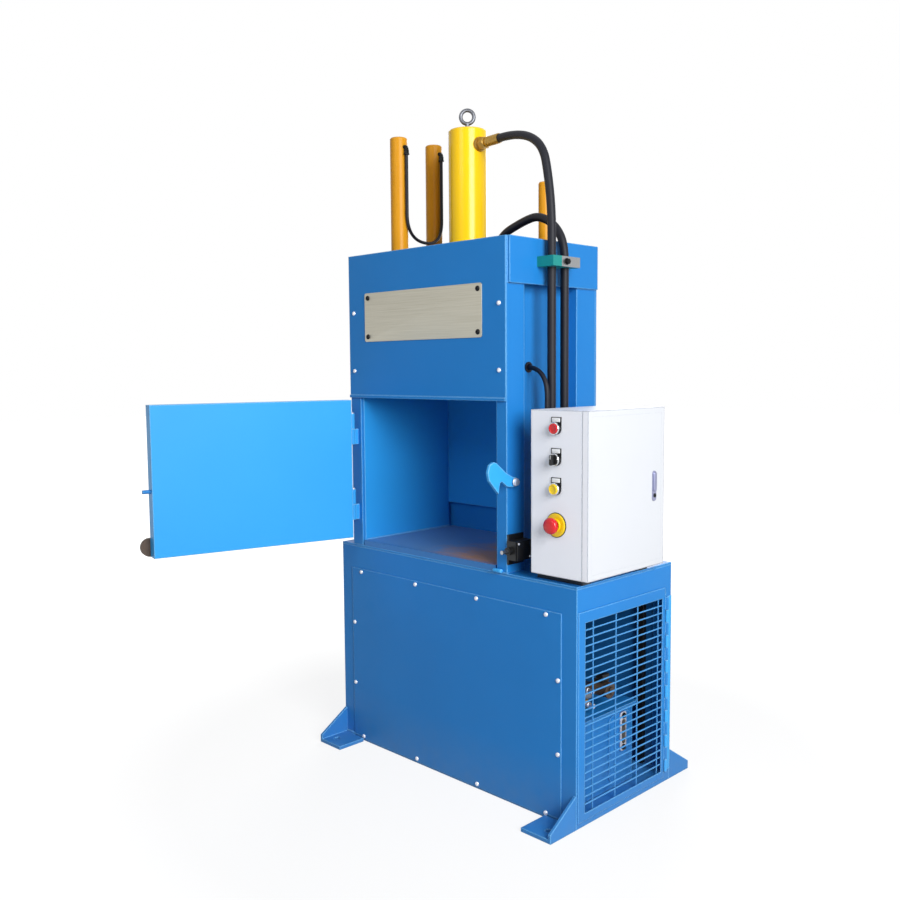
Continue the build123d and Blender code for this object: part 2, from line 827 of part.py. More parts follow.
def make_grommets():
    rings = []
    for x, y, diameter in grommet_places():
        outer = diameter + 2 * grommet_wall
        ring = post(x, y, base_inner_top, base_height + grommet_rim, outer)
        ring += post(x, y, base_height, base_height + grommet_rim, outer + 2 * grommet_flange)
        rings.append(ring - post(x, y, base_inner_top - overrun, base_height + overrun + grommet_rim,
                                 diameter + 2 * seat_gap))
    y = chamber_front + cable_out_y
    outer = cable_diameter + 2 * grommet_wall
    ring = bar_x(inner_right, liner_right + grommet_rim, y, cable_out_height, outer)
    ring += bar_x(liner_right, liner_right + grommet_rim, y, cable_out_height, outer + 2 * grommet_flange)
    rings.append(ring - bar_x(inner_right - overrun, liner_right + overrun, y, cable_out_height,
                              cable_diameter + 2 * grommet_slack))
    return rings


# Fasteners of the fixed frame
def make_fasteners():
    heads = []
    for x, z in base_screw_places():
        heads.append(head_on_front(x, base_front - panel_wall, z, screw_head_span, screw_head_height))
        heads.append(Pos(x, base_back + panel_wall, z) * Rot(-90, 0, 0)
                     * hexagon(screw_head_span, screw_head_height))
    for x in (chamber_left + upper_screw_side, chamber_right - upper_screw_side):
        for z in (opening_top + upper_screw_low, opening_top + upper_screw_high):
            heads.append(head_on_front(x, upper_panel_front, z, screw_head_span, screw_head_height))
    x, z = plate_corner()
    for across in (plate_screw_inset, plate_width - plate_screw_inset):
        for up in (plate_screw_inset, plate_height - plate_screw_inset):
            heads.append(head_on_front(x + across, upper_panel_front - plate_wall, z + up,
                                       screw_head_span, screw_head_height))
    for bolt in PolarLocations(flange_bolt_circle_diameter / 2, flange_bolt_count):
        heads.append(Pos(ram_x, ram_y, deck_top + flange_wall) * bolt
                     * hexagon(flange_bolt_span, flange_bolt_height))
    middle = (press_y + return_y) / 2
    heads.append(Pos(chamber_right + band_wall + clamp_depth, middle, clamp_low + clamp_height / 2)
                 * Rot(0, 90, 0) * hexagon(clamp_bolt_span, clamp_bolt_height))
    heads.append(Pos(chamber_right + 2 * hook_gap + hook_wall, hook_y, hook_pivot_height)
                 * Rot(0, 90, 0) * hexagon(stud_head_span, stud_head_height))
    return heads


# Door, modelled shut and then swung open about its hinge
def swing(shape):
    return shape.rotate(Axis((axis_x, axis_y, 0), (0, 0, 1)), -door_open_angle)


def door_edges():
    x0 = axis_x + door_edge_gap
    return x0, x0 + door_width, axis_y - door_depth / 2, axis_y + door_depth / 2


def make_door_panel():
    x0, x1, y0, y1 = door_edges()
    top = door_low + door_height
    pan = slab(x0, x1, y0, y1, door_low, top)
    pan -= slab(x0 + door_sheet, x1 - door_sheet, y0 - overrun, y1 - door_sheet,
                door_low + door_sheet, top - door_sheet)
    middle = (x0 + x1) / 2
    pan += slab(middle - door_rib_width / 2, middle + door_rib_width / 2, y0, y1 - door_sheet,
                door_low + door_sheet, top - door_sheet)
    return swing(pan)


def make_door_knuckles():
    knuckles = []
    for z in (hinge_low, hinge_high):
        x0 = door_edges()[0]
        barrel = post(axis_x, axis_y, z + hinge_half + seat_gap, z + 2 * hinge_half, hinge_barrel)
        leaf = slab(axis_x, x0, axis_y - hinge_leaf_wall / 2, axis_y + hinge_leaf_wall / 2,
                    z + hinge_half + seat_gap, z + 2 * hinge_half)
        bore = post(axis_x, axis_y, z, z + 2 * hinge_half + overrun, hinge_pin + 2 * slide_gap)
        knuckles.append(swing(barrel + leaf - bore))
    return knuckles


def make_frame_knuckles():
    knuckles = []
    for z in (hinge_low, hinge_high):
        barrel = post(axis_x, axis_y, z, z + hinge_half, hinge_barrel)
        leaf = slab(axis_x - hinge_leaf_wall / 2, axis_x + hinge_leaf_wall / 2, axis_y, chamber_front,
                    z, z + hinge_half)
        pin = post(axis_x, axis_y, z + hinge_half, z + 2 * hinge_half, hinge_pin)
        knuckles.append(barrel + leaf + pin)
    return knuckles


def make_door_catch():
    x1 = door_edges()[1]
    return swing(bar_x(x1, x1 + catch_reach, axis_y, catch_height, catch_diameter))


def make_door_disc():
    x0, x1, y0, y1 = door_edges()
    z = door_low + disc_diameter / 2
    disc = bar_y(x1, y0 - disc_wall, y0, z, disc_diameter)
    disc += head_on_front(x1, y0 - disc_wall, z, disc_bolt_span, disc_bolt_height)
    return swing(disc)


# Latch hook on the right post
def make_hook():
    seat = hypot(axis_y - hook_y, catch_height - hook_pivot_height)   # from the stud to the seated catch
    outline_shares = (
        (0.10, 0.26), (0.66, 0.52), (1.40, 1.10), (1.62, 1.16), (1.90, 1.02), (2.04, 0.64), (1.94, 0.22),
        (1.24, -0.52),
        (1.18, -0.16), (1.10, 0.06), (0.98, 0.10), (0.54, -0.21), (0.10, -0.26))
    profile = make_face(Polyline(*[(-y * seat, z * seat) for y, z in outline_shares], close=True))
    profile += Circle(hook_eye)
    profile -= Circle(hook_stud / 2 + slide_gap)
    plate = extrude(Plane.YZ * profile, hook_wall)
    return Pos(chamber_right + hook_gap, hook_y, hook_pivot_height) * plate


# Door switch
def make_switch():
    x0 = chamber_right
    y0 = chamber_front - switch_front
    top = switch_low + switch_height
    body = slab(x0 + switch_foot_wall, x0 + switch_width, y0, y0 + switch_length, switch_low, top)
    body += slab(x0, x0 + switch_foot_wall, chamber_front, y0 + switch_length, switch_low - switch_foot_extra,
                 top + switch_foot_extra)
    x = x0 + switch_width / 2
    z = switch_low + switch_height / 2
    body += bar_y(x, y0 - plunger_guide_reach, y0, z, plunger_guide)
    body -= bar_y(x, y0 - plunger_guide_reach - overrun, y0 + plunger_travel + overrun, z,
                  plunger_diameter + 2 * slide_gap)
    return body


def make_plunger():
    y0 = chamber_front - switch_front
    x = chamber_right + switch_width / 2
    z = switch_low + switch_height / 2
    return bar_y(x, y0 - plunger_reach + seat_gap, y0, z, plunger_diameter)


# Control box
def make_box_shell():
    shell = slab(box_left, box_shell_right, box_front, box_back, box_low, box_low + box_height)
    shell -= slab(box_left + box_wall, box_shell_right + overrun, box_front + box_wall, box_back - box_wall,
                  box_low + box_wall, box_low + box_height - box_wall)
    for height in (red_height, selector_height, yellow_height, estop_height):
        shell -= bar_y(button_x, box_front - overrun, box_front + box_wall + overrun, box_low + height,
                       device_bore_diameter + 2 * seat_gap)
    for y in (box_front + box_strip_inset, box_back - box_strip_inset - box_strip_width):
        shell += slab(box_left, min(box_shell_right, base_right), y, y + box_strip_width,
                      base_height, box_low)
    return shell


def make_box_door():
    x0 = box_shell_right + seat_gap
    lid = slab(x0, box_right, box_front, box_back, box_low, box_low + box_height)
    lid -= slab(x0 - overrun, box_right - box_wall, box_front + box_rim, box_back - box_rim,
                box_low + box_rim, box_low + box_height - box_rim)
    y, z = lock_place()
    return lid - bar_x(x0, box_right + overrun, y, z, lock_spindle_diameter + 2 * slide_gap)


def lock_place():
    return box_back - lock_side, box_low + box_height / 2 + lock_from_middle


def make_lock():
    y, z = lock_place()
    x0 = box_right + seat_gap
    plate = slab(x0, x0 + lock_depth, y - lock_width / 2, y + lock_width / 2,
                 z - lock_height / 2, z + lock_height / 2)
    plate = fillet(plate.edges().filter_by(Axis.X), lock_round)
    inside = box_right - box_wall - seat_gap
    plate += bar_x(inside - lock_nut_wall, x0, y, z, lock_spindle_diameter)
    return plate + bar_x(inside - lock_nut_wall, inside, y, z, lock_nut_diameter)


def make_back_board():
    x0 = box_left + box_wall + back_plate_standoff
    x1 = x0 + back_plate_wall
    y0, y1 = box_front + device_body_depth + back_plate_margin, box_back - back_plate_margin
    z0, z1 = box_low + back_plate_margin, box_low + box_height - back_plate_margin
    board = slab(x0, x1, y0, y1, z0, z1)
    for y in (y0 + back_plate_margin, y1 - back_plate_margin):
        for z in (z0 + back_plate_margin, z1 - back_plate_margin):
            board += bar_x(box_left + box_wall, x0, y, z, back_plate_standoff)
    middle = (z0 + z1) / 2
    board += slab(x1, x1 + rail_depth, y0, y1, middle - rail_height / 2, middle + rail_height / 2)
    pitch = (y1 - y0) / contactor_count
    for number in range(contactor_count):
        y = y0 + number * pitch + pitch / 2
        board += slab(x1 + rail_depth, x1 + rail_depth + contactor_depth, y - contactor_width / 2,
                      y + contactor_width / 2, middle - contactor_height / 2, middle + contactor_height / 2)
    return board


def make_bezels():
    rings = []
    y_in = box_front + box_wall
    for height in (red_height, selector_height, yellow_height):
        z = box_low + height
        face = box_front - bezel_reach
        ring = bar_y(button_x, face, box_front, z, bezel_diameter)
        ring += bar_y(button_x, box_front, y_in + device_body_depth, z, device_bore_diameter)
        ring += bar_y(button_x, y_in, y_in + device_nut_wall, z, device_nut)
        ring += slab(button_x - legend_width / 2, button_x + legend_width / 2,
                     box_front - legend_wall, box_front, z, z + legend_height)
        ring -= bar_y(button_x, face - overrun, box_front + button_travel + overrun, z, stem_bore_diameter)
        ring -= bar_y(button_x, face - overrun, face + button_travel + overrun, z,
                      button_diameter + 2 * slide_gap)
        rings.append(ring)
    z = box_low + estop_height
    collar = bar_y(button_x, box_front - estop_disc_wall, box_front, z, estop_disc_diameter)
    collar += bar_y(button_x, box_front, y_in + device_body_depth, z, device_bore_diameter)
    collar += bar_y(button_x, y_in, y_in + device_nut_wall, z, device_nut)
    collar -= bar_y(button_x, box_front - estop_disc_wall - overrun, y_in + estop_travel + overrun, z,
                    stem_bore_diameter)
    rings.append(collar)
    return rings


def make_button(height):
    z = box_low + height
    face = box_front - bezel_reach
    cap = bar_y(button_x, face - button_reach, face + seat_gap, z, button_diameter)
    return cap + bar_y(button_x, face, box_front, z, stem)


def make_selector():
    z = box_low + selector_height
    face = box_front - bezel_reach
    knob = bar_y(button_x, face - knob_base_reach, face - seat_gap, z, knob_base)
    knob += slab(button_x - knob_width / 2, button_x + knob_width / 2,
                 face - knob_reach, face - knob_base_reach, z - knob_length / 2, z + knob_length / 2)
    return knob + bar_y(button_x, face - seat_gap, box_front, z, stem)


def make_estop():
    z = box_low + estop_height
    face = box_front - estop_disc_wall
    near = face - estop_neck_reach
    head = bar_y(button_x, near - estop_head_wall, near, z, estop_head_diameter)
    head = fillet(head.edges().sort_by(Axis.Y)[:1], estop_head_round)
    head += bar_y(button_x, near, face - estop_travel - seat_gap, z, estop_neck)
    return head + bar_y(button_x, face - estop_travel - seat_gap, box_front, z, stem)


# Service door
def make_service_door():
    x0 = base_right + seat_gap
    x1 = x0 + service_wall
    y1 = piano_y - piano_knuckle / 2 - piano_edge_gap
    sheet = slab(x0, x1, base_front + service_front, y1, service_low, service_top)
    sheet -= slab(x0 - overrun, x1 + overrun, base_front + window_front, base_front + window_back,
                  window_low, window_high)
    for number in range(1, piano_knuckles, 2):
        z0, z1 = knuckle_span(number)
        barrel = post(piano_x, piano_y, z0, z1, piano_knuckle)
        barrel += slab(x0, x1, y1 - piano_edge_gap, piano_y, z0, z1)
        sheet += barrel - post(piano_x, piano_y, z0 - overrun, z1 + overrun, piano_pin + 2 * slide_gap)
    return sheet


def knuckle_span(number):
    z0 = piano_low + number * piano_knuckle_length
    return z0 + piano_knuckle_gap / 2, z0 + piano_knuckle_length - piano_knuckle_gap / 2


def make_piano_leaf():
    y0 = piano_y + piano_knuckle / 2 + piano_edge_gap
    top = piano_low + piano_knuckles * piano_knuckle_length
    leaf = slab(base_right, base_right + piano_leaf_wall, y0, y0 + piano_leaf, piano_low, top)
    leaf += post(piano_x, piano_y, piano_low, top, piano_pin)
    for number in range(0, piano_knuckles, 2):
        z0, z1 = knuckle_span(number)
        leaf += post(piano_x, piano_y, z0, z1, piano_knuckle)
        leaf += slab(base_right, base_right + piano_leaf_wall, piano_y, y0, z0, z1)
    return leaf


def make_mesh():
    wires = []
    x = base_right + seat_gap - wire_diameter / 2
    y0, y1 = base_front + window_front - wire_overlap, base_front + window_back + wire_overlap
    pitch = (window_high - window_low) / (wire_rows + 1)
    for row in range(1, wire_rows + 1):
        wires.append(bar_y(x, y0, y1, window_low + row * pitch, wire_diameter))
    for column in range(wire_columns):
        y = base_front + window_front + wire_first_column + column * wire_column_pitch
        wires.append(post(x - wire_diameter, y, window_low - wire_overlap, window_high + wire_overlap,
                          wire_diameter))
    return wires


# Power pack
def make_tank():
    z0 = bottom_rail_height
    z1 = z0 + tank_height
    tank = slab(tank_x0, tank_x1, tank_y0, tank_y1, z0, z1)
    return tank - slab(tank_x0 + tank_wall, tank_x1 - tank_wall, tank_y0 + tank_wall, tank_y1 - tank_wall,
                       z0 + tank_wall, z1 + overrun)


def motor_place():
    return tank_x0 + motor_x, (tank_y0 + tank_y1) / 2


def make_tank_lid():
    z0 = bottom_rail_height + tank_height
    lid = slab(tank_x0 - lid_lip, tank_x1 + lid_lip, tank_y0 - lid_lip, tank_y1 + lid_lip, z0, lid_top)
    x, y = motor_place()
    lid -= post(x, y, z0 - overrun, lid_top + overrun, pump_diameter + 2 * seat_gap)
    fx, fy = tank_x1 - filler_x, tank_y0 + filler_y
    neck_top = lid_top + filler_neck_height
    lid += post(fx, fy, lid_top, neck_top, filler_neck)
    return lid + post(fx, fy, neck_top, neck_top + filler_height, filler_diameter)


def make_gauge():
    z0 = bottom_rail_height + gauge_low
    y0 = tank_y0 + gauge_y - gauge_width / 2
    plate = slab(tank_x1, tank_x1 + gauge_depth, y0, y0 + gauge_width, z0, z0 + gauge_height)
    edges = plate.edges().filter_by(Axis.X)
    return fillet(edges, gauge_round)


def make_motor():
    x, y = motor_place()
    z0 = motor_foot
    body = post(0, 0, z0, z0 + motor_height, motor_diameter)
    for turn in PolarLocations(motor_diameter / 2, motor_fin_count):
        body += Pos(0, 0, z0) * turn * Box(2 * motor_fin_reach, motor_fin_wall, motor_height, align=stand)
    body += post(0, 0, z0 + motor_height, z0 + motor_height + fan_cover_height, fan_cover_diameter)
    reach = motor_diameter / 2 + terminal_depth
    middle = z0 + motor_height / 2
    body += slab(-terminal_width / 2, terminal_width / 2, -reach, 0,
                 middle - terminal_height / 2, middle + terminal_height / 2)
    return Pos(x, y, 0) * body


def make_pump():
    x, y = motor_place()
    unit = post(x, y, lid_top, lid_top + bell_flange_wall, bell_flange)
    unit += post(x, y, lid_top + bell_flange_wall, lid_top + bell_flange_wall + bell_height, bell_diameter)
    return unit + post(x, y, lid_top - pump_length, lid_top, pump_diameter)


def make_valve():
    block = slab(valve_x - valve_width / 2, valve_x + valve_width / 2, valve_y - valve_depth / 2,
                 valve_y + valve_depth / 2, lid_top, valve_top)
    z = lid_top + valve_height / 2
    return block + slab(valve_x + valve_width / 2, valve_x + valve_width / 2 + solenoid_length,
                        valve_y - solenoid_side / 2, valve_y + solenoid_side / 2,
                        z - solenoid_side / 2, z + solenoid_side / 2)


nodes = {
    "base_frame": make_base_frame(),
    "base_front_panel": make_base_panel(base_front - panel_wall, base_front),
    "base_back_panel": make_base_panel(base_back, base_back + panel_wall),
    "base_left_panel": make_left_panel(),
    "base_top_plate": make_top_plate(),
    "chamber_frame": make_chamber_frame(),
    "chamber_left_wall": make_side_wall(liner_left, inner_left),
    "chamber_right_wall": make_right_wall(),
    "chamber_back_plate": make_back_plate(),
    "back_liner": make_back_liner(),
    "chamber_bed": make_bed(),
    "cylinder_deck": make_deck(),
    "front_upper_panel": make_upper_panel(),
    "nameplate": make_nameplate(),
    "cylinder_barrel": make_barrel(),
    "cylinder_gland": make_gland(),
    "eye_bolt": make_eye_bolt(),
    "hose_fittings": Compound(children=make_fittings()),
    "hose_press": make_press_hose(),
    "hose_return": make_return_hose(),
    "hose_clamp_body": make_clamp_body(),
    "hose_clamp_cover": make_clamp_cover(),
    "control_cable": hose(cable_points(), cable_bend, cable_diameter),
    "cable_grommets": Compound(children=make_grommets()),
    "fasteners": Compound(children=make_fasteners()),
    "frame_hinge_knuckles": Compound(children=make_frame_knuckles()),
    "door_switch": make_switch(),
    "control_box_shell": make_box_shell(),
    "control_back_board": make_back_board(),
    "control_bezels": Compound(children=make_bezels()),
    "piano_hinge_leaf": make_piano_leaf(),
    "oil_tank": make_tank(),
    "tank_lid": make_tank_lid(),
    "level_gauge": make_gauge(),
    "pump_motor": make_motor(),
    "pump_unit": make_pump(),
    "valve_block": make_valve(),
    "guide_sleeves": Compound(children=[make_sleeve(*guide) for guide in guides.values()]),
    "vent_lines": Compound(children=make_vent_lines()),
    "platen": make_platen(),
    "ram_rod": make_ram(),
    "guide_rods": Compound(children=make_guide_rods()),
    "door_panel": make_door_panel(),
    "door_hinge_knuckles": Compound(children=make_door_knuckles()),
    "door_catch": make_door_catch(),
    "door_disc": make_door_disc(),
    "latch_hook": make_hook(),
    "switch_plunger": make_plunger(),
    "control_box_door": make_box_door(),
    "box_lock": make_lock(),
    "red_button": make_button(red_height),
    "yellow_button": make_button(yellow_height),
    "selector_knob": make_selector(),
    "estop_button": make_estop(),
    "service_door": make_service_door(),
    "service_mesh": Compound(children=make_mesh()),
}
for x_name, x_side in (("left", -1), ("right", 1)):
    for y_name, y_side in (("front", -1), ("rear", 1)):
        nodes[f"foot_{y_name}_{x_name}"] = make_foot(x_side, y_side)

os.makedirs("parts", exist_ok=True)
for name, shape in nodes.items():
    export_step(shape, f"parts/{name}.step")
print(len(nodes), "nodes written")
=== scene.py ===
import math
import bmesh
import bpy
from mathutils import Matrix, Vector


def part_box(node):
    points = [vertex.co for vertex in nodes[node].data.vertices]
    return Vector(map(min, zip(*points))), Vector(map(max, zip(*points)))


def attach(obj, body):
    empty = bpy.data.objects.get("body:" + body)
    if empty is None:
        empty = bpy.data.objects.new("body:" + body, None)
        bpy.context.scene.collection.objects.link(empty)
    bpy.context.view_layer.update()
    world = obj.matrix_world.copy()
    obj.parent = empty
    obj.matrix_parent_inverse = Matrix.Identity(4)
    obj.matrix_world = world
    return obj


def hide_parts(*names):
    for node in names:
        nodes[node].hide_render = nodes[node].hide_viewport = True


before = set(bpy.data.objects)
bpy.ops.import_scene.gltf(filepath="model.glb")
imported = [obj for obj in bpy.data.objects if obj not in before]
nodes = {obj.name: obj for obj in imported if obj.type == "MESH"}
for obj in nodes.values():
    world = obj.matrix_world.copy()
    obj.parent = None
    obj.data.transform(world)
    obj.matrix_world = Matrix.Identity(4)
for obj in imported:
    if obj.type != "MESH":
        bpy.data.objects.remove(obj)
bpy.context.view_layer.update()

scene = bpy.context.scene
scene.view_settings.view_transform = "Standard"
print("frame loaded:", len(nodes), "nodes")


def linear(hexColour):   # sRGB hex to linear RGBA
    parts = [int(hexColour[i:i + 2], 16) / 255 for i in (1, 3, 5)]
    return (*[c / 12.92 if c <= 0.04045 else ((c + 0.055) / 1.055) ** 2.4 for c in parts], 1.0)


def addNode(tree, kind, settings, **links):   # settings name sockets or properties, links give (node, output)
    node = tree.nodes.new(kind)
    for name, value in settings.items():
        if hasattr(node, name):
            setattr(node, name, value)
        else:
            node.inputs[int(name) if name.isdigit() else name].default_value = value
    for name, (source, output) in links.items():
        socket = node.inputs[int(name[1:])] if name[1:].isdigit() else node.inputs[name]
        tree.links.new(source.outputs[output], socket)
    return node


def startMaterial(name, colour, metallic, roughness):
    material = bpy.data.materials.new(name)
    material.use_nodes = True
    tree = material.node_tree
    shader = tree.nodes["Principled BSDF"]
    shader.inputs["Base Color"].default_value = linear(colour)
    shader.inputs["Metallic"].default_value = metallic
    shader.inputs["Roughness"].default_value = roughness
    place = addNode(tree, "ShaderNodeTexCoord", {})
    return material, tree, shader, place


def addNoise(tree, place, size, **settings):   # blotches about this many millimetres wide
    return addNode(tree, "ShaderNodeTexNoise", {"Scale": 1000.0 / size, **settings}, Vector=(place, "Object"))


def addRange(tree, source, start, end, low=0.0, high=1.0):   # start to end becomes low to high
    return addNode(tree, "ShaderNodeMapRange", {"From Min": start, "From Max": end, "To Min": low,
                                                "To Max": high}, Value=source)


def addMath(tree, operation, first, second):   # the second is (node, output) or a number
    if isinstance(second, tuple):
        return addNode(tree, "ShaderNodeMath", {"operation": operation}, i0=first, i1=second)
    return addNode(tree, "ShaderNodeMath", {"operation": operation, "1": second}, i0=first)


def addMix(tree, share, over, under):   # a colour over another one or over an earlier mix
    if isinstance(under, str):
        return addNode(tree, "ShaderNodeMix", {"data_type": "RGBA", "6": linear(under), "7": linear(over)},
                       i0=share)
    return addNode(tree, "ShaderNodeMix", {"data_type": "RGBA", "7": linear(over)}, i0=share, i6=(under, 2))


def addBump(tree, height, strength, depth, **links):
    return addNode(tree, "ShaderNodeBump", {"Strength": strength, "Distance": depth}, Height=height, **links)


def feed(tree, shader, sources):   # each socket of the shader from (node, output)
    for socket, (source, output) in sources.items():
        tree.links.new(source.outputs[output], shader.inputs[socket])


# Paints on steel: orange peel, faint blotches, sheets a little wavy, thin edges partly worn and partly a
# painted highlight (a painted dark outline on the white coats), dust near the floor
blueCoat = {"colour": "#2480CB", "shade": "#1E75BE", "edge": "#7CC4F7", "roughness": 0.40, "blotch": 260}
paintLook = {
    # sprayed machine enamel, mid gloss
    "blueEnamel": blueCoat,
    # the same enamel on the door, the hook and the hinges, a shade lighter as painted light where they face
    # the light
    "litBlueEnamel": {**blueCoat, "colour": "#38A6EC", "shade": "#329FE6", "edge": "#9AD6FB"},
    # chamber walls, the faces turned inwards painted lighter: painted light inside the chamber
    "chamberEnamel": {**blueCoat, "inside": "#2A94DE"},
    # the same coat on the base panels, the faces turned inwards painted darker: painted shade inside the base
    "baseEnamel": {**blueCoat, "inside": "#2069AA"},
    # glossy enamel on the barrel, a clear streak of light down its side
    "yellowEnamel": {"colour": "#FFD200", "shade": "#F8C600", "edge": "#FBE05A", "roughness": 0.20,
                     "blotch": 180, "gloss": 0.32},
    # brushed-on enamel, slightly uneven
    "orangeEnamel": {"colour": "#DE9C1E", "shade": "#CB8A12", "edge": "#EDB34A", "roughness": 0.34,
                     "blotch": 90},
    # baked powder coat, nearly matt, with a painted dark outline along its folds and a painted shade strip
    # under the box
    "whitePowderCoat": {"colour": "#F4F6FD", "shade": "#EEF1F9", "edge": "#A9B2C2", "roughness": 0.46,
                        "blotch": 300, "paintedUnderShade": 0.6105},
    # the same coat on the box door, greyer on its face as painted shade, to hold its brightly lit side below
    # white
    "shadedWhiteDoorCoat": {"colour": "#D2D5DA", "shade": "#CDD0D6", "edge": "#8E97A8", "roughness": 0.46,
                      "blotch": 300, "rim": 0.4738, "rimTone": "#F1F3FA"},
    # hammered grey on the power pack
    "greyMachineEnamel": {"colour": "#6E7479", "shade": "#62686D", "edge": "#8C9298", "roughness": 0.45,
                          "blotch": 60},
}
paintGrain = {"peel": 3.0, "peelBump": 0.10, "peelDepth": 0.0004, "wave": 170, "sheetBump": 0.25,
              "waveDepth": 0.004, "edgeWidth": 0.0045, "edgeShare": 0.95, "scuff": 40, "gloss": 0.2,
              "smoother": 0.08, "rougher": 0.10, "dust": "#7E8C97", "dustTop": 0.16, "dustShare": 0.30,
              "paintedUnderShade": "#33383E", "inward": (0.707, -0.707, 0.0)}


def makePaint(name):
    look, grain = paintLook[name], paintGrain
    material, tree, shader, place = startMaterial(name, look["colour"], 0.0, look["roughness"])
    shader.inputs["Specular IOR Level"].default_value = look.get("gloss", grain["gloss"])
    flat = addNode(tree, "ShaderNodeNewGeometry", {})
    axis = addNode(tree, "ShaderNodeSeparateXYZ", {}, Vector=(place, "Object"))
    blotch = addNoise(tree, place, look["blotch"], Detail=4.0)
    tone = addMix(tree, (blotch, "Fac"), look["colour"], look["shade"])
    if "inside" in look:   # painted light and shade on inward faces, such as a left wall's right side and a back wall's front face
        inward = addNode(tree, "ShaderNodeVectorMath", {"operation": "DOT_PRODUCT", "1": grain["inward"]},
                         i0=(flat, "Normal"))
        paintedInwardTone = addRange(tree, (inward, "Value"), 0.4, 0.6)
        tone = addMix(tree, (paintedInwardTone, "Result"), look["inside"], tone)
    if "rim" in look:   # folded edges behind the door's face keep the shell's pale tone, without the face's painted shade
        folded = addMath(tree, "LESS_THAN", (axis, "X"), look["rim"])
        tone = addMix(tree, (folded, "Value"), look["rimTone"], tone)
    # dust settles low down, in patches
    scuff = addNoise(tree, place, grain["scuff"], Detail=6.0)
    low = addRange(tree, (axis, "Z"), grain["dustTop"], 0.0, 0.0, grain["dustShare"])
    patchy = addMath(tree, "MULTIPLY", (low, "Result"), (scuff, "Fac"))
    tone = addMix(tree, (patchy, "Value"), grain["dust"], tone)
    # edges take the edge tone: partly wear where the coat is thin, partly a painted highlight, and on the
    # white coats a painted dark outline
    bevel = addNode(tree, "ShaderNodeBevel", {"samples": 4, "Radius": grain["edgeWidth"]})
    turn = addNode(tree, "ShaderNodeVectorMath", {"operation": "DOT_PRODUCT"}, i0=(bevel, "Normal"),
                   i1=(flat, "Normal"))
    edge = addRange(tree, (turn, "Value"), 0.995, 0.82, 0.0, grain["edgeShare"])
    tone = addMix(tree, (edge, "Result"), look["edge"], tone)
    if "paintedUnderShade" in look:   # painted shade: dark strips under the box, below this height, for the shadow beneath it
        below = addMath(tree, "LESS_THAN", (axis, "Z"), look["paintedUnderShade"])
        tone = addMix(tree, (below, "Value"), grain["paintedUnderShade"], tone)
    gloss = addRange(tree, (scuff, "Fac"), 0.0, 1.0, look["roughness"] - grain["smoother"],
                     look["roughness"] + grain["rougher"])
    wave = addNoise(tree, place, grain["wave"], Detail=1.0)
    sheet = addBump(tree, (wave, "Fac"), grain["sheetBump"], grain["waveDepth"], Normal=(bevel, "Normal"))
    peel = addNoise(tree, place, grain["peel"], Detail=2.0)
    bump = addBump(tree, (peel, "Fac"), grain["peelBump"], grain["peelDepth"], Normal=(sheet, "Normal"))
    feed(tree, shader, {"Base Color": (tone, 2), "Roughness": (gloss, "Result"), "Normal": (bump, "Normal")})
    return material


materials = {name: makePaint(name) for name in paintLook}

# Metals: streak gives the noise scale along each axis, per metre
metalLook = {
    # electroplated screws, soft and slightly clouded
    "brightZinc": {"colour": "#E4E6EC", "shade": "#CBCED6", "roughness": 0.48, "streak": (60, 60, 60)},
    # surface-ground block, fine lines along X
    "groundSteel": {"colour": "#B4B6B8", "shade": "#8E9194", "roughness": 0.30, "streak": (40, 300, 300)},
    # drop-forged eye, dull grey scale that the plating follows
    "forgedSteel": {"colour": "#7C7E84", "shade": "#4A4C52", "roughness": 0.36, "streak": (90, 90, 90)},
    # polished hard chrome, near mirror
    "hardChrome": {"colour": "#D8DADD", "shade": "#C8CBCF", "roughness": 0.10, "streak": (80, 80, 80)},
    # yellow chromate on hose fittings, golden and patchy
    "yellowPassivate": {"colour": "#B8944A", "shade": "#84683A", "roughness": 0.34, "streak": (70, 70, 70)},
    # brushed stainless, long lines along X
    "brushedPlate": {"colour": "#C6C3B6", "shade": "#949082", "roughness": 0.42, "streak": (9, 1400, 1400)},
    # die-cast handle, satin
    "satinAlloy": {"colour": "#A2A5C0", "shade": "#8A8DAA", "roughness": 0.40, "streak": (50, 50, 50)},
    # turned brass ports
    "brass": {"colour": "#D2A84A", "shade": "#A9823A", "roughness": 0.28, "streak": (60, 60, 60)},
    # oiled black oxide bolts
    "blackOxide": {"colour": "#2B2C2E", "shade": "#1D1E20", "roughness": 0.42, "streak": (60, 60, 60)},
}
metalGrain = {"smoother": 0.07, "rougher": 0.12, "bump": 0.08, "depth": 0.0003}


def makeMetal(name):
    look, grain = metalLook[name], metalGrain
    material, tree, shader, place = startMaterial(name, look["colour"], 1.0, look["roughness"])
    stretch = addNode(tree, "ShaderNodeMapping", {"Scale": look["streak"]}, Vector=(place, "Object"))
    streak = addNode(tree, "ShaderNodeTexNoise", {"Scale": 1.0, "Detail": 5.0}, Vector=(stretch, "Vector"))
    tone = addMix(tree, (streak, "Fac"), look["colour"], look["shade"])
    gloss = addRange(tree, (streak, "Fac"), 0.0, 1.0, look["roughness"] - grain["smoother"],
                     look["roughness"] + grain["rougher"])
    bump = addBump(tree, (streak, "Fac"), grain["bump"], grain["depth"])
    feed(tree, shader, {"Base Color": (tone, 2), "Roughness": (gloss, "Result"), "Normal": (bump, "Normal")})
    return material


materials.update({name: makeMetal(name) for name in metalLook})

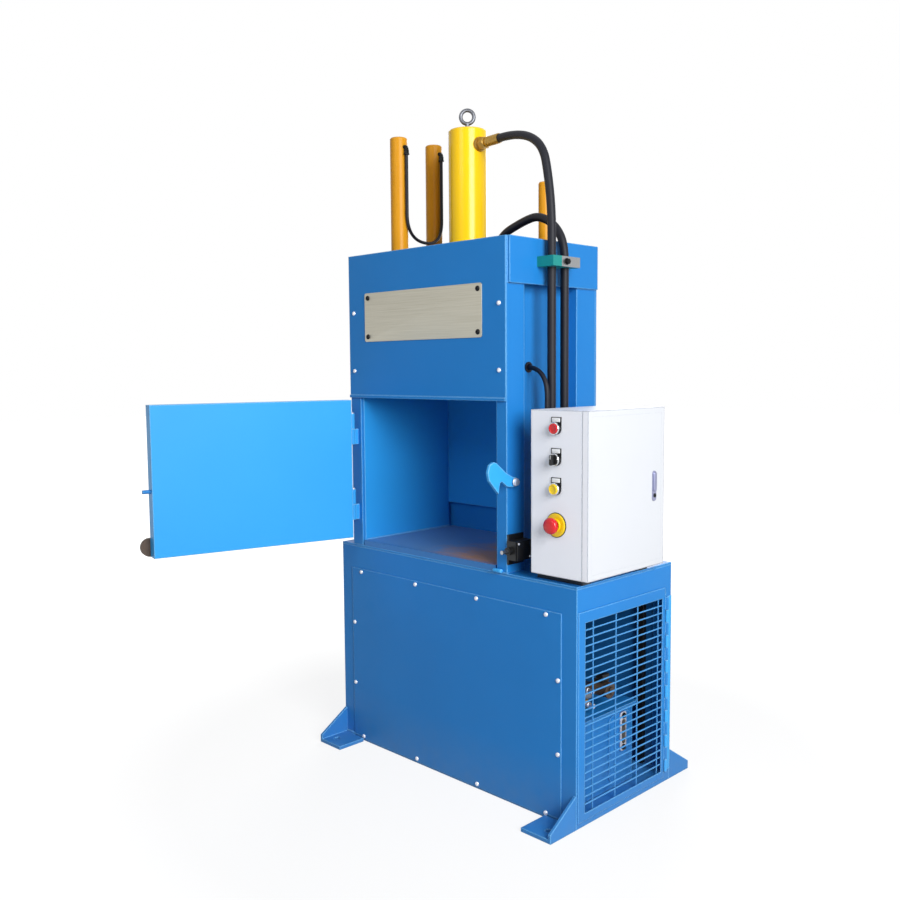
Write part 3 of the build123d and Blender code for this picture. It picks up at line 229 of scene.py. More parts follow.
# Plastics, rubber and glass: moulded, with a fine spark-eroded grain drawn a little coarse so that it shows
mouldLook = {
    # satin black ABS housings
    "blackAbs": {"colour": "#17181A", "shade": "#0F1011", "roughness": 0.42, "gloss": 0.40, "grain": 1.6},
    # pale grey ABS of switchgear, satin
    "greyAbs": {"colour": "#9A9EA3", "shade": "#8F9398", "roughness": 0.42, "gloss": 0.40, "grain": 1.6},
    # injection-moulded polypropylene clamp, waxy
    "tealPolypropylene": {"colour": "#128C86", "shade": "#0E7A75", "roughness": 0.45, "gloss": 0.40,
                          "grain": 2.0},
    # pressed phenolic, dull with darker specks
    "brownPhenolic": {"colour": "#5A4B41", "shade": "#46392F", "roughness": 0.60, "gloss": 0.35,
                      "grain": 6.0},
    # polished ABS caps, bright highlights
    "redAbs": {"colour": "#D3121C", "shade": "#BF0F18", "roughness": 0.24, "gloss": 0.50, "grain": 3.0},
    "yellowAbs": {"colour": "#F2CF15", "shade": "#E6C00D", "roughness": 0.30, "gloss": 0.50, "grain": 3.0},
    # wrapped hose cover, dull black with a slight bloom
    "hoseRubber": {"colour": "#12141F", "shade": "#0A0C15", "roughness": 0.52, "gloss": 0.28, "grain": 4.0},
    # oil behind glass, dark amber and glossy
    "gaugeGlass": {"colour": "#3A3226", "shade": "#2A241B", "roughness": 0.08, "gloss": 0.50, "grain": 8.0},
    # white insert plate, semi-matt
    "whiteLegend": {"colour": "#EEF0F2", "shade": "#E4E7EA", "roughness": 0.35, "gloss": 0.45, "grain": 5.0},
}
mouldGrain = {"bump": 0.10, "depth": 0.0002}


def makeMould(name):
    look = mouldLook[name]
    material, tree, shader, place = startMaterial(name, look["colour"], 0.0, look["roughness"])
    shader.inputs["Specular IOR Level"].default_value = look["gloss"]
    grain = addNoise(tree, place, look["grain"], Detail=3.0)
    tone = addMix(tree, (grain, "Fac"), look["colour"], look["shade"])
    bump = addBump(tree, (grain, "Fac"), mouldGrain["bump"], mouldGrain["depth"])
    feed(tree, shader, {"Base Color": (tone, 2), "Normal": (bump, "Normal")})
    return material


materials.update({name: makeMould(name) for name in mouldLook})

# Worn plate: steel that lost its paint to the load, its blue tint a painted reflection of the blue walls,
# rusty to the right, blue left at the front edge
wornLook = {"steel": "#6490BE", "rust": "#B88C6C", "paint": "#2B6FAE", "metallic": 0.25, "roughness": 0.50,
            "patch": 70, "fleck": 9, "rustFrom": -0.20, "rustTo": 0.18, "lipFrom": -0.175, "lipTo": -0.198,
            "bump": 0.30, "depth": 0.0008}


def makeWornPlate():
    look = wornLook
    material, tree, shader, place = startMaterial("wornPlate", look["steel"], look["metallic"],
                                                  look["roughness"])
    axis = addNode(tree, "ShaderNodeSeparateXYZ", {}, Vector=(place, "Object"))
    patch = addNoise(tree, place, look["patch"], Detail=8.0, Roughness=0.65)
    across = addRange(tree, (axis, "X"), look["rustFrom"], look["rustTo"], -0.1, 0.75)
    rusty = addMath(tree, "ADD", (patch, "Fac"), (across, "Result"))
    rustMask = addRange(tree, (rusty, "Value"), 0.62, 1.0)
    base = addMix(tree, (rustMask, "Result"), look["rust"], look["steel"])
    # paint stays on the sides and along the front lip
    face = addNode(tree, "ShaderNodeNewGeometry", {})
    normal = addNode(tree, "ShaderNodeSeparateXYZ", {}, Vector=(face, "Normal"))
    side = addRange(tree, (normal, "Z"), 0.7, 0.2)
    fleck = addNoise(tree, place, look["fleck"], Detail=6.0)
    lip = addRange(tree, (axis, "Y"), look["lipFrom"], look["lipTo"])
    lipPatch = addMath(tree, "MULTIPLY", (lip, "Result"), (fleck, "Fac"))
    keep = addMath(tree, "MAXIMUM", (side, "Result"), (lipPatch, "Value"))
    full = addMix(tree, (keep, "Value"), look["paint"], base)
    bump = addBump(tree, (fleck, "Fac"), look["bump"], look["depth"])
    feed(tree, shader, {"Base Color": (full, 2), "Normal": (bump, "Normal")})
    return material


materials["wornPlate"] = makeWornPlate()
print("materials:", len(materials))

# Which finish each solid wears
finishes = {
    "blueEnamel": ["base_frame", "base_front_panel", "base_top_plate", "chamber_frame", "chamber_right_wall",
                   "chamber_back_plate", "cylinder_deck", "front_upper_panel", "service_door", "service_mesh",
                   "oil_tank", "tank_lid", "foot_front_left", "foot_front_right", "foot_rear_left",
                   "foot_rear_right", "door_catch"],
    "chamberEnamel": ["chamber_left_wall", "back_liner"],
    "baseEnamel": ["base_back_panel", "base_left_panel"],
    "litBlueEnamel": ["door_panel", "door_hinge_knuckles", "frame_hinge_knuckles", "piano_hinge_leaf",
                       "latch_hook"],
    "yellowEnamel": ["cylinder_barrel"],
    "orangeEnamel": ["guide_sleeves"],
    "whitePowderCoat": ["control_box_shell"],
    "shadedWhiteDoorCoat": ["control_box_door"],
    "greyMachineEnamel": ["pump_motor", "pump_unit"],
    "brightZinc": ["fasteners", "control_back_board", "box_lock"],
    "groundSteel": ["cylinder_gland", "hose_clamp_cover", "valve_block", "switch_plunger"],
    "forgedSteel": ["eye_bolt"],
    "yellowPassivate": ["hose_fittings"],
    "hardChrome": ["ram_rod", "guide_rods"],
    "brushedPlate": ["nameplate"],
    "wornPlate": ["chamber_bed", "platen"],
    "hoseRubber": ["hose_press", "hose_return", "control_cable", "cable_grommets", "vent_lines"],
    "tealPolypropylene": ["hose_clamp_body"],
    "brownPhenolic": ["door_disc"],
    "blackAbs": ["door_switch", "control_bezels", "selector_knob"],
    "redAbs": ["red_button", "estop_button"],
    "yellowAbs": ["yellow_button"],
    "gaugeGlass": ["level_gauge"],
}
for finish, names in finishes.items():
    for name in names:
        solid = nodes[name]
        solid.data.materials.clear()
        solid.data.materials.append(materials[finish])
bare = sorted(set(nodes) - {n for names in finishes.values() for n in names})
print("solids without a finish:", bare)

# Modelling helpers: each works on one new piece
smoothAngle = math.radians(35)


def addShape(name, kind, **sizes):
    bpy.ops.object.select_all(action="DESELECT")
    getattr(bpy.ops.mesh, "primitive_" + kind + "_add")(**sizes)
    piece = bpy.context.object
    piece.name = name
    return piece


def pickEdges(piece, test):   # in edit mode, select the edges whose ends pass the test
    mesh = bmesh.from_edit_mesh(piece.data)
    bpy.ops.mesh.select_mode(type="EDGE")
    bpy.ops.mesh.select_all(action="DESELECT")
    for edge in mesh.edges:
        edge.select_set(test(edge.verts[0].co, edge.verts[1].co))
    bmesh.update_edit_mesh(piece.data)


def finishPiece(piece, finish):
    bpy.ops.object.select_all(action="DESELECT")
    piece.select_set(True)
    bpy.context.view_layer.objects.active = piece
    bpy.ops.object.transform_apply(location=True, rotation=True, scale=True)
    bpy.ops.object.mode_set(mode="EDIT")
    bpy.ops.mesh.select_all(action="SELECT")
    bpy.ops.mesh.normals_make_consistent(inside=False)
    bpy.ops.object.mode_set(mode="OBJECT")
    bpy.ops.object.shade_smooth_by_angle(angle=smoothAngle)
    piece.data.materials.clear()
    piece.data.materials.append(materials[finish])
    return piece


def turned(name, outline, finish, steps=32):   # lathe (radius, height) points round Z
    piece = addShape(name, "plane", size=0.002)
    bpy.ops.object.mode_set(mode="EDIT")
    bpy.ops.mesh.select_mode(type="VERT")
    bpy.ops.mesh.select_all(action="SELECT")
    bpy.ops.mesh.merge(type="CENTER")
    radius, height = outline[0]
    bpy.ops.transform.translate(value=(radius, 0, height))
    for nextRadius, nextHeight in outline[1:]:
        bpy.ops.mesh.extrude_region_move(
            TRANSFORM_OT_translate={"value": (nextRadius - radius, 0, nextHeight - height)})
        radius, height = nextRadius, nextHeight
    bpy.ops.mesh.select_all(action="SELECT")
    bpy.ops.mesh.spin(steps=steps, angle=2 * math.pi, center=(0, 0, 0), axis=(0, 0, 1))
    bpy.ops.mesh.select_all(action="SELECT")
    bpy.ops.mesh.remove_doubles(threshold=0.000002)
    bpy.ops.object.mode_set(mode="OBJECT")
    return finishPiece(piece, finish)


def roundedBlock(name, low, high, corner, axis, rim, finish):   # corners rounded along one axis, rims eased
    middle = (Vector(low) + Vector(high)) / 2
    piece = addShape(name, "cube", size=1.0)
    piece.scale = Vector(high) - Vector(low)
    bpy.ops.object.transform_apply(scale=True)
    bpy.ops.object.mode_set(mode="EDIT")
    pickEdges(piece, lambda a, b: abs(abs((a - b)[axis]) - (a - b).length) < 0.00001)
    bpy.ops.mesh.bevel(offset=corner, segments=6)
    half = (Vector(high) - Vector(low))[axis] / 2
    pickEdges(piece, lambda a, b: abs(abs(a[axis]) - half) < 0.00001 and abs(a[axis] - b[axis]) < 0.00001)
    bpy.ops.mesh.bevel(offset=rim, segments=3)
    bpy.ops.object.mode_set(mode="OBJECT")
    piece.location = middle
    return finishPiece(piece, finish)


def hexHead(name, span, height, finish):   # hexagon with eased corners on a thin washer
    piece = addShape(name, "cylinder", vertices=6, radius=span / math.sqrt(3), depth=height)
    bpy.ops.object.mode_set(mode="EDIT")
    pickEdges(piece, lambda a, b: a.z > 0 and b.z > 0)
    bpy.ops.mesh.bevel(offset=height * 0.14, segments=2)
    bpy.ops.object.mode_set(mode="OBJECT")
    piece.location.z = height / 2
    washer = turned(name + "Washer", [(0, 0), (span * 0.66, 0), (span * 0.66, height * 0.16),
                                      (span * 0.62, height * 0.24), (0, height * 0.24)], finish)
    return joinPieces(name, [piece, washer], finish)


def joinPieces(name, parts, finish):
    bpy.ops.object.select_all(action="DESELECT")
    for part in parts:
        part.select_set(True)
    bpy.context.view_layer.objects.active = parts[0]
    if len(parts) > 1:
        bpy.ops.object.join()
    parts[0].name = name
    return finishPiece(parts[0], finish)


def repeat(name, pattern, places):   # copies of a piece made along Z, each at (place, direction)
    finish = pattern.data.materials[0].name
    copies = []
    for place, direction in places:
        copy = pattern.copy()
        copy.data = pattern.data.copy()
        scene.collection.objects.link(copy)
        turn = Vector((0, 0, 1)).rotation_difference(Vector(direction)).to_matrix().to_4x4()
        copy.matrix_world = Matrix.Translation(place) @ turn
        copies.append(copy)
    bpy.data.objects.remove(pattern)
    return joinPieces(name, copies, finish)


def looseBoxes(node):   # low and high corner of each loose solid in a CAD node
    mesh = bmesh.new()
    mesh.from_mesh(nodes[node].data)
    bmesh.ops.remove_doubles(mesh, verts=mesh.verts, dist=0.00001)
    left, boxes = set(mesh.verts), []
    while left:
        stack = [left.pop()]
        group = []
        while stack:
            vert = stack.pop()
            group.append(vert.co.copy())
            for edge in vert.link_edges:
                other = edge.other_vert(vert)
                if other in left:
                    left.discard(other)
                    stack.append(other)
        boxes.append((Vector([min(c[i] for c in group) for i in range(3)]),
                      Vector([max(c[i] for c in group) for i in range(3)])))
    mesh.free()
    return sorted(boxes, key=lambda b: tuple(round(c, 4) for c in b[0]))


# Screws and bolts, in place of the plain heads
screwLook = {"domeRadius": 0.0062, "domeHeight": 0.0042, "plateRadius": 0.0072, "boltSpan": 0.016,
             "bolts": {"clampBolt": "blackOxide", "hookBolt": "brightZinc"}}


def makeScrews():
    r, h = screwLook["domeRadius"], screwLook["domeHeight"]
    dome = [(0, h * 0.55), (r * 0.30, h * 0.55), (r * 0.34, h), (r * 0.62, h * 0.88), (r * 0.9, h * 0.5),
            (r, h * 0.16), (r, 0), (0, 0)]
    plateLow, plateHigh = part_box("nameplate")
    sheet, plate, flange, side = [], [], [], []
    for low, high in looseBoxes("fasteners"):
        size, middle = high - low, (low + high) / 2
        thin = min(range(3), key=lambda i: size[i])
        if thin == 1:
            out = -1 if middle.y < 0 else 1
            seat = Vector((middle.x, high.y if out < 0 else low.y, middle.z))
            onPlate = plateLow[0] < middle.x < plateHigh[0] and plateLow[2] < middle.z < plateHigh[2]
            (plate if onPlate else sheet).append((seat, (0, out, 0)))
        elif thin == 2:
            flange.append((Vector((middle.x, middle.y, low.z)), (0, 0, 1), size.y, size.z))
        else:
            side.append((Vector((low.x, middle.y, middle.z)), (1, 0, 0), size.y, size.x))
    wide = [(a * screwLook["plateRadius"] / r, b) for a, b in dome]
    span, tall = flange[0][2:]
    made = [repeat("panelScrews", turned("dome", dome, "brightZinc", 24), sheet),
            repeat("plateScrews", turned("plateDome", wide, "blackOxide", 24), plate),
            repeat("flangeBolts", hexHead("flangeBolt", span, tall, "blackOxide"), [f[:2] for f in flange])]
    for (name, finish), bolt in zip(screwLook["bolts"].items(), sorted(side, key=lambda s: -s[0].z)):
        head = hexHead(name + "Head", min(bolt[2], screwLook["boltSpan"]), bolt[3], finish)
        made.append(repeat(name, head, [bolt[:2]]))
    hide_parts("fasteners")
    for piece in made:
        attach(piece, "frame")
    print("screws:", len(sheet), "sheet,", len(plate), "plate,", len(flange), "flange,", len(side), "side")


makeScrews()

# Hoses and cables: one smooth line each, between the fittings that hold them
lineLook = {
    "pressHose": {"node": "hose_press", "diameter": 0.022, "length": 1.47, "points": [
        (0.0537, -0.0404, 1.722), (0.2105, -0.0616, 1.722), (0.2545, -0.0675, 1.540),
        (0.2545, -0.0675, 1.353), (0.2545, -0.0675, 0.382)]},
    "returnHose": {"node": "hose_return", "diameter": 0.022, "length": 1.412, "points": [
        (0.0070, -0.0201, 1.358), (0.0070, -0.0201, 1.458), (0.1400, -0.0176, 1.507),
        (0.1850, -0.0168, 1.502), (0.2290, -0.0160, 1.472), (0.2545, -0.0155, 1.422),
        (0.2545, -0.0155, 1.330), (0.2545, -0.0155, 0.382)]},
    "controlCable": {"node": "control_cable", "diameter": 0.012, "length": 0.843, "points": [
        (0.1815, -0.0805, 1.113), (0.2655, -0.0985, 1.113), (0.2655, -0.0985, 0.965),
        (0.2655, -0.0985, 0.326)]},
    "ventLine": {"node": "vent_lines", "diameter": 0.009, "length": 0.60, "points": [
        (-0.2200, -0.1275, 1.710), (-0.2200, -0.1275, 1.620), (-0.2200, -0.1275, 1.475),
        (-0.2590, 0.0465, 1.475), (-0.2590, 0.0465, 1.620), (-0.2590, 0.0465, 1.722)]},
}


def makeLines():
    for name, look in lineLook.items():
        curve = bpy.data.curves.new(name, "CURVE")
        curve.dimensions = "3D"
        curve.bevel_depth = look["diameter"] / 2
        curve.bevel_resolution = 6
        curve.resolution_u = 20
        curve.use_fill_caps = True
        spline = curve.splines.new("NURBS")
        spline.points.add(len(look["points"]) - 1)
        for point, place in zip(spline.points, look["points"]):
            point.co = (*place, 1.0)
        spline.order_u = 3
        spline.use_endpoint_u = True
        curve.materials.append(materials["hoseRubber"])
        line = bpy.data.objects.new(name, curve)
        scene.collection.objects.link(line)
        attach(line, "frame")
        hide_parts(look["node"])
    print("lines:", ", ".join(lineLook))


makeLines()

# Hose fittings: hexagon at the port, elbow, and crimped sleeves where the hoses end
fittingLook = {"crimp": 0.0135, "bore": 0.0112, "sleeve": 0.056, "rings": 5, "ringFirst": 0.010,
               "ringPitch": 0.008, "nutSpan": 0.030, "nutLength": 0.030, "elbow": 0.012,
               "ram": (-0.084, -0.02175), "portHeight": 1.722, "rodPort": 1.302, "barrel": 0.053,
               "elbowReach": 0.038, "valveTop": 0.326, "vent": 0.006, "ventBend": 0.0075, "ventReach": 0.010,
               "ventNut": 0.022, "ventSpan": 0.0125}


def makeElbow(name, corner, out, rise, radius, bend, reach, finish):   # disc spun a quarter turn, with a tail
    elbow = addShape(name, "circle", vertices=24, radius=radius, fill_type="NGON")
    end = corner + Vector((0, 0, rise * bend))
    elbow.matrix_world = Matrix.Translation(end)
    bpy.ops.object.transform_apply(location=True, rotation=True)
    bpy.ops.object.mode_set(mode="EDIT")
    bpy.ops.mesh.select_all(action="SELECT")
    bpy.ops.mesh.spin(steps=10, angle=math.pi / 2, center=end - out * bend,
                      axis=out.cross(Vector((0, 0, 1))) * rise)
    bpy.ops.mesh.extrude_region_move(TRANSFORM_OT_translate={"value": -out * (reach - bend)})
    bpy.ops.object.mode_set(mode="OBJECT")
    return finishPiece(elbow, finish)


def makeFittings():
    look = fittingLook
    r, bore, tall = look["crimp"], look["bore"], look["sleeve"]
    outline = [(bore, 0), (r * 0.9, 0), (r, 0.002)]
    for ring in range(look["rings"]):
        z = look["ringFirst"] + ring * look["ringPitch"]
        outline += [(r, z), (r * 0.9, z + 0.0015), (r * 0.9, z + 0.0035), (r, z + 0.005)]
    outline += [(r, tall - 0.003), (r * 0.93, tall), (bore, tall), (bore, 0)]
    sleeve = turned("crimp", outline, "yellowPassivate", 28)
    ram = Vector((*look["ram"], 0))
    press = (Vector(lineLook["pressHose"]["points"][0]) - ram).xy.normalized().to_3d()
    back = (Vector(lineLook["returnHose"]["points"][0]) - ram).xy.normalized().to_3d()
    port = ram + press * look["barrel"] + Vector((0, 0, look["portHeight"]))
    foot = ram + back * (look["barrel"] + look["elbowReach"]) + Vector((0, 0, look["rodPort"]))
    ends = [(port + press * look["nutLength"], press), (foot, (0, 0, 1))]
    for name in ("pressHose", "returnHose"):
        x, y = lineLook[name]["points"][-1][:2]
        ends.append(((x, y, look["valveTop"]), (0, 0, 1)))
    sleeves = repeat("crimpSleeves", sleeve, ends)
    nut = hexHead("nut", look["nutSpan"], look["nutLength"], "yellowPassivate")
    nut = repeat("portNut", nut, [(port, press)])
    elbow = makeElbow("portElbow", foot, back, 1, look["elbow"], look["elbow"] * 1.5, look["elbowReach"],
                      "yellowPassivate")
    # small elbows with a nut hold the thin line on the two left sleeves
    bend, reach, tall = look["ventBend"], look["ventReach"], look["ventNut"]
    stubs, nuts = [], []
    for x, y, z in (lineLook["ventLine"]["points"][0], lineLook["ventLine"]["points"][-1]):
        stubs.append(makeElbow("ventStub", Vector((x, y, z + tall)), Vector((1, 0, 0)), -1, look["vent"],
                               bend, reach, "blackOxide"))
        nuts.append(((x, y, z), (0, 0, 1)))
    stubs.append(repeat("ventNuts", hexHead("ventNut", look["ventSpan"], tall - bend, "blackOxide"), nuts))
    vents = joinPieces("ventElbows", stubs, "blackOxide")
    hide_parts("hose_fittings")
    for piece in (sleeves, nut, elbow, vents):
        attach(piece, "frame")
    print("fittings made")


makeFittings()

# Pilot devices: silver rings, white legends, domed caps, turning knob and mushroom
deviceLook = {"x": 0.3815, "front": -0.2045, "red": 0.968, "selector": 0.894, "yellow": 0.824, "stop": 0.737,
              "bezel": 0.010, "ring": 0.0150, "cap": 0.0125, "reach": 0.006, "disc": 0.0283,
              "stopSeat": 0.002, "grip": (0.0045, 0.0128), "gripReach": (0.003, 0.0138), "mark": 0.0008,
              "markReach": (0.0136, 0.0140), "markSpan": (0.002, 0.0115),
              # corners, from the device's axis
              "legend": ((-0.0118, -0.0030, 0.0152), (0.0118, -0.0014, 0.0252))}


def makeDevices():
    look = deviceLook
    x, front = look["x"], look["front"]
    face = front - look["bezel"]
    out = (0, -1, 0)
    r, c = look["ring"], look["cap"]
    ring = turned("ring", [(c + 0.0004, 0.0), (r - 0.0004, 0.0), (r + 0.0001, -0.0012), (r + 0.0001, 0.001),
                           (r - 0.0008, 0.0022), (c + 0.0006, 0.0022), (c + 0.0004, 0.0)], "hardChrome")
    rows = ("red", "selector", "yellow")
    rings = repeat("deviceRings", ring, [((x, face, look[k]), out) for k in rows])
    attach(rings, "frame")
    insert = roundedBlock("legend", *look["legend"], 0.0012, 1, 0.0003, "whiteLegend")
    legends = repeat("legendInserts", insert, [((x, front, look[k]), (0, 0, 1)) for k in rows])
    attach(legends, "frame")
    for k, body, node, finish, slotName in (("red", "red_push", "red_button", "redAbs", "red_plastic"),
                                            ("yellow", "yellow_push", "yellow_button", "yellowAbs",
                                             "yellow_plastic")):
        h = look["reach"]
        cap = turned("cap", [(0, 0), (c, 0), (c, h * 0.62), (c * 0.95, h * 0.86), (c * 0.82, h * 0.94),
                             (c * 0.74, h * 0.80), (c * 0.4, h * 0.70), (0, h * 0.68)], finish)
        cap = repeat(k + "Cap", cap, [((x, face, look[k]), out)])
        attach(cap, body)
        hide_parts(node)
    # knob: a round skirt, a rounded grip and a white pointer
    skirt = turned("skirt", [(0, 0.0003), (0.0120, 0.0003), (0.0120, 0.002), (0.0112, 0.0032), (0, 0.0032)],
                   "blackAbs")
    z = look["selector"]
    skirt = repeat("knobSkirt", skirt, [((x, face, z), out)])
    across, along = look["grip"]
    near, far = look["gripReach"]
    grip = roundedBlock("knobGrip", (x - across, face - far, z - along), (x + across, face - near, z + along),
                        0.0040, 1, 0.0012, "blackAbs")
    knob = joinPieces("selectorGrip", [grip, skirt], "blackAbs")
    across, (near, far), (foot, tip) = look["mark"], look["markReach"], look["markSpan"]
    markLow, markHigh = (x - across, face - far, z + foot), (x + across, face - near, z + tip)
    mark = roundedBlock("selectorMark", markLow, markHigh, 0.0006, 1, 0.0001, "whiteLegend")
    for piece in (knob, mark):
        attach(piece, "selector")
    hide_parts("selector_knob")
    # emergency stop: yellow disc with a collar, and a mushroom head on its neck
    d, seat = look["disc"], ((x, front - look["stopSeat"], look["stop"]), out)
    disc = turned("disc", [(0.0125, 0), (d, 0), (d, 0.0012), (d - 0.001, 0.0022), (d - 0.0022, 0.0026),
                           (0.0160, 0.0026), (0.0150, 0.0060), (0.0125, 0.0060), (0.0125, 0)],
                  "yellowAbs", 48)
    disc = repeat("stopDisc", disc, [seat])
    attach(disc, "frame")
    head = turned("mushroom", [(0, 0.0058), (0.0105, 0.0058), (0.0105, 0.0135), (0.0175, 0.0145),
                               (0.0196, 0.0165), (0.0199, 0.0195), (0.0196, 0.0225), (0.0180, 0.0258),
                               (0.0145, 0.0278), (0.0075, 0.0288), (0, 0.0290)], "redAbs", 48)
    head = repeat("stopMushroom", head, [seat])
    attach(head, "estop")
    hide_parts("estop_button")
    print("pilot devices made")


makeDevices()

# Swing-handle lock on the box door, with its key barrel
lockLook = {"width": 0.016, "stand": 0.006, "ledge": 0.0028, "bed": 0.0020, "gripInset": 0.0022,
            "gripFoot": 0.024, "gripHead": 0.003, "stem": 0.0044, "keyHeight": 0.014}


def makeLock():
    low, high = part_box("box_lock")
    front = high[0]
    y = (low[1] + high[1]) / 2
    half = lockLook["width"] / 2
    z0, z1 = low[2], high[2]
    spindle = low[0]
    seat, bed, inset = front - lockLook["stand"], lockLook["bed"], lockLook["gripInset"]
    plate = roundedBlock("lockPlate", (seat, y - half, z0), (seat + lockLook["ledge"], y + half, z1), 0.0075,
                         0, 0.0008, "satinAlloy")
    grip = roundedBlock("lockGrip", (seat + bed, y - half + inset, z0 + lockLook["gripFoot"]),
                        (front, y + half - inset, z1 - lockLook["gripHead"]), 0.0050, 0, 0.0014, "satinAlloy")
    r, tall = lockLook["stem"], seat - spindle + 0.001
    stem = turned("lockStem", [(0, 0), (r, 0), (r, tall), (0, tall)], "satinAlloy", 24)
    stem = repeat("lockStem", stem, [((spindle, y, (z0 + z1) / 2), (1, 0, 0))])
    lock = joinPieces("swingHandle", [plate, grip, stem], "satinAlloy")
    barrel = turned("keyBarrel", [(0, 0), (0.0052, 0), (0.0052, 0.0024), (0.0044, 0.0030), (0.0012, 0.0030),
                                  (0.0012, 0.0018), (0, 0.0018)], "blackOxide", 24)
    barrel = repeat("keyBarrel", barrel, [((seat + bed, y, z0 + lockLook["keyHeight"]), (1, 0, 0))])
    for piece in (lock, barrel):
        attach(piece, "lock")
    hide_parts("box_lock")
    print("lock made")


makeLock()

# Oil level gauge and the tank's cover plate behind it
gaugeLook = {"cover": 0.003, "corner": 0.020, "coverLow": (0.055, 0.016), "coverHigh": (0.040, 0.012),
             "frame": 0.0060, "glass": 0.0065, "glassReach": (0.004, 0.0085), "glassInset": 0.020,
             "boltSpan": 0.012, "boltHeight": 0.0045, "boltInset": 0.010}


def makeGauge():
    look = gaugeLook
    low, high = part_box("level_gauge")
    y = (low[1] + high[1]) / 2
    tankLow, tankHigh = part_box("oil_tank")
    face = tankHigh[0]
    seat = face + look["cover"]
    (ahead, foot), (behind, head) = look["coverLow"], look["coverHigh"]
    cover = roundedBlock("tankCover", (face, y - ahead, tankLow[2] + foot),
                         (seat, y + behind, tankHigh[2] - head), look["corner"], 0, 0.001, "blueEnamel")
    frameBar = roundedBlock("gaugeFrame", (seat, low[1], low[2]), (seat + look["frame"], high[1], high[2]),
                            0.008, 0, 0.0012, "brightZinc")
    half, inset, (near, far) = look["glass"], look["glassInset"], look["glassReach"]
    glass = roundedBlock("gaugeWindow", (seat + near, y - half, low[2] + inset),
                         (seat + far, y + half, high[2] - inset), 0.0060, 0, 0.0015, "gaugeGlass")
    bolt, inset = hexHead("gaugeBolt", look["boltSpan"], look["boltHeight"], "blackOxide"), look["boltInset"]
    bolts = repeat("gaugeBolts", bolt, [((seat + look["frame"], y, z), (1, 0, 0))
                                        for z in (low[2] + inset, high[2] - inset)])
    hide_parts("level_gauge")
    for piece in (cover, frameBar, glass, bolts):
        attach(piece, "frame")
    print("gauge made")


makeGauge()

# Valve block: brass ports with plugs, a solenoid coil and its connector, on the side that the mesh shows
valveLook = {"coil": 0.021, "coilLength": 0.050, "port": 0.024, "portLength": 0.018,
             # Y and Z from the middle of the block's face
             "coilAt": (0.030, 0.008), "portsAt": ((-0.030, 0.016), (-0.026, -0.022)),
             # corners, from the same middle
             "plug": ((0.012, 0.016, 0.026), (0.038, 0.044, 0.048))}


def makeValveDetail():
    low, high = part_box("valve_block")
    x, y, z = high[0], (low[1] + high[1]) / 2, (low[2] + high[2]) / 2
    r, tall = valveLook["coil"], valveLook["coilLength"]
    coil = turned("coil", [(0, 0), (r, 0), (r, 0.003), (r * 0.94, 0.005), (r * 0.94, tall - 0.005),
                           (r, tall - 0.003), (r, tall), (r * 0.45, tall), (r * 0.45, tall + 0.006),
                           (r * 0.36, tall + 0.008), (0, tall + 0.008)], "brownPhenolic")
    across, up = valveLook["coilAt"]
    coil = repeat("valveCoil", coil, [((x, y + across, z + up), (1, 0, 0))])
    plugLow, plugHigh = [(x + dx, y + dy, z + dz) for dx, dy, dz in valveLook["plug"]]
    plug = roundedBlock("coilPlug", plugLow, plugHigh, 0.004, 2, 0.002, "blackAbs")
    seats = [((x, y + across, z + up), (1, 0, 0)) for across, up in valveLook["portsAt"]]
    port = hexHead("valvePort", valveLook["port"], valveLook["portLength"], "brass")
    ports = repeat("valvePorts", port, seats)
    stub = turned("stub", [(0, 0.016), (0.0075, 0.016), (0.0075, 0.026), (0.0062, 0.027), (0.0062, 0.040),
                           (0.0050, 0.041), (0, 0.041)], "brightZinc", 24)
    stubs = repeat("portPlugs", stub, seats)
    for piece in (coil, plug, ports, stubs):
        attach(piece, "frame")
    print("valve detail made")


makeValveDetail()

# Back board in the control box: plate on posts, top-hat rail and three contactors with their screws
boardLook = {"face": 0.3175, "wall": 0.003, "inset": 0.030, "post": 0.005, "rail": 0.008, "railHeight": 0.035,
             "railSheet": 0.0012, "railWeb": 0.74, "railLip": 0.66,   # shares of the rail's half height
             "depth": 0.070, "width": 0.045, "height": 0.080, "count": 3, "screw": 0.0034}


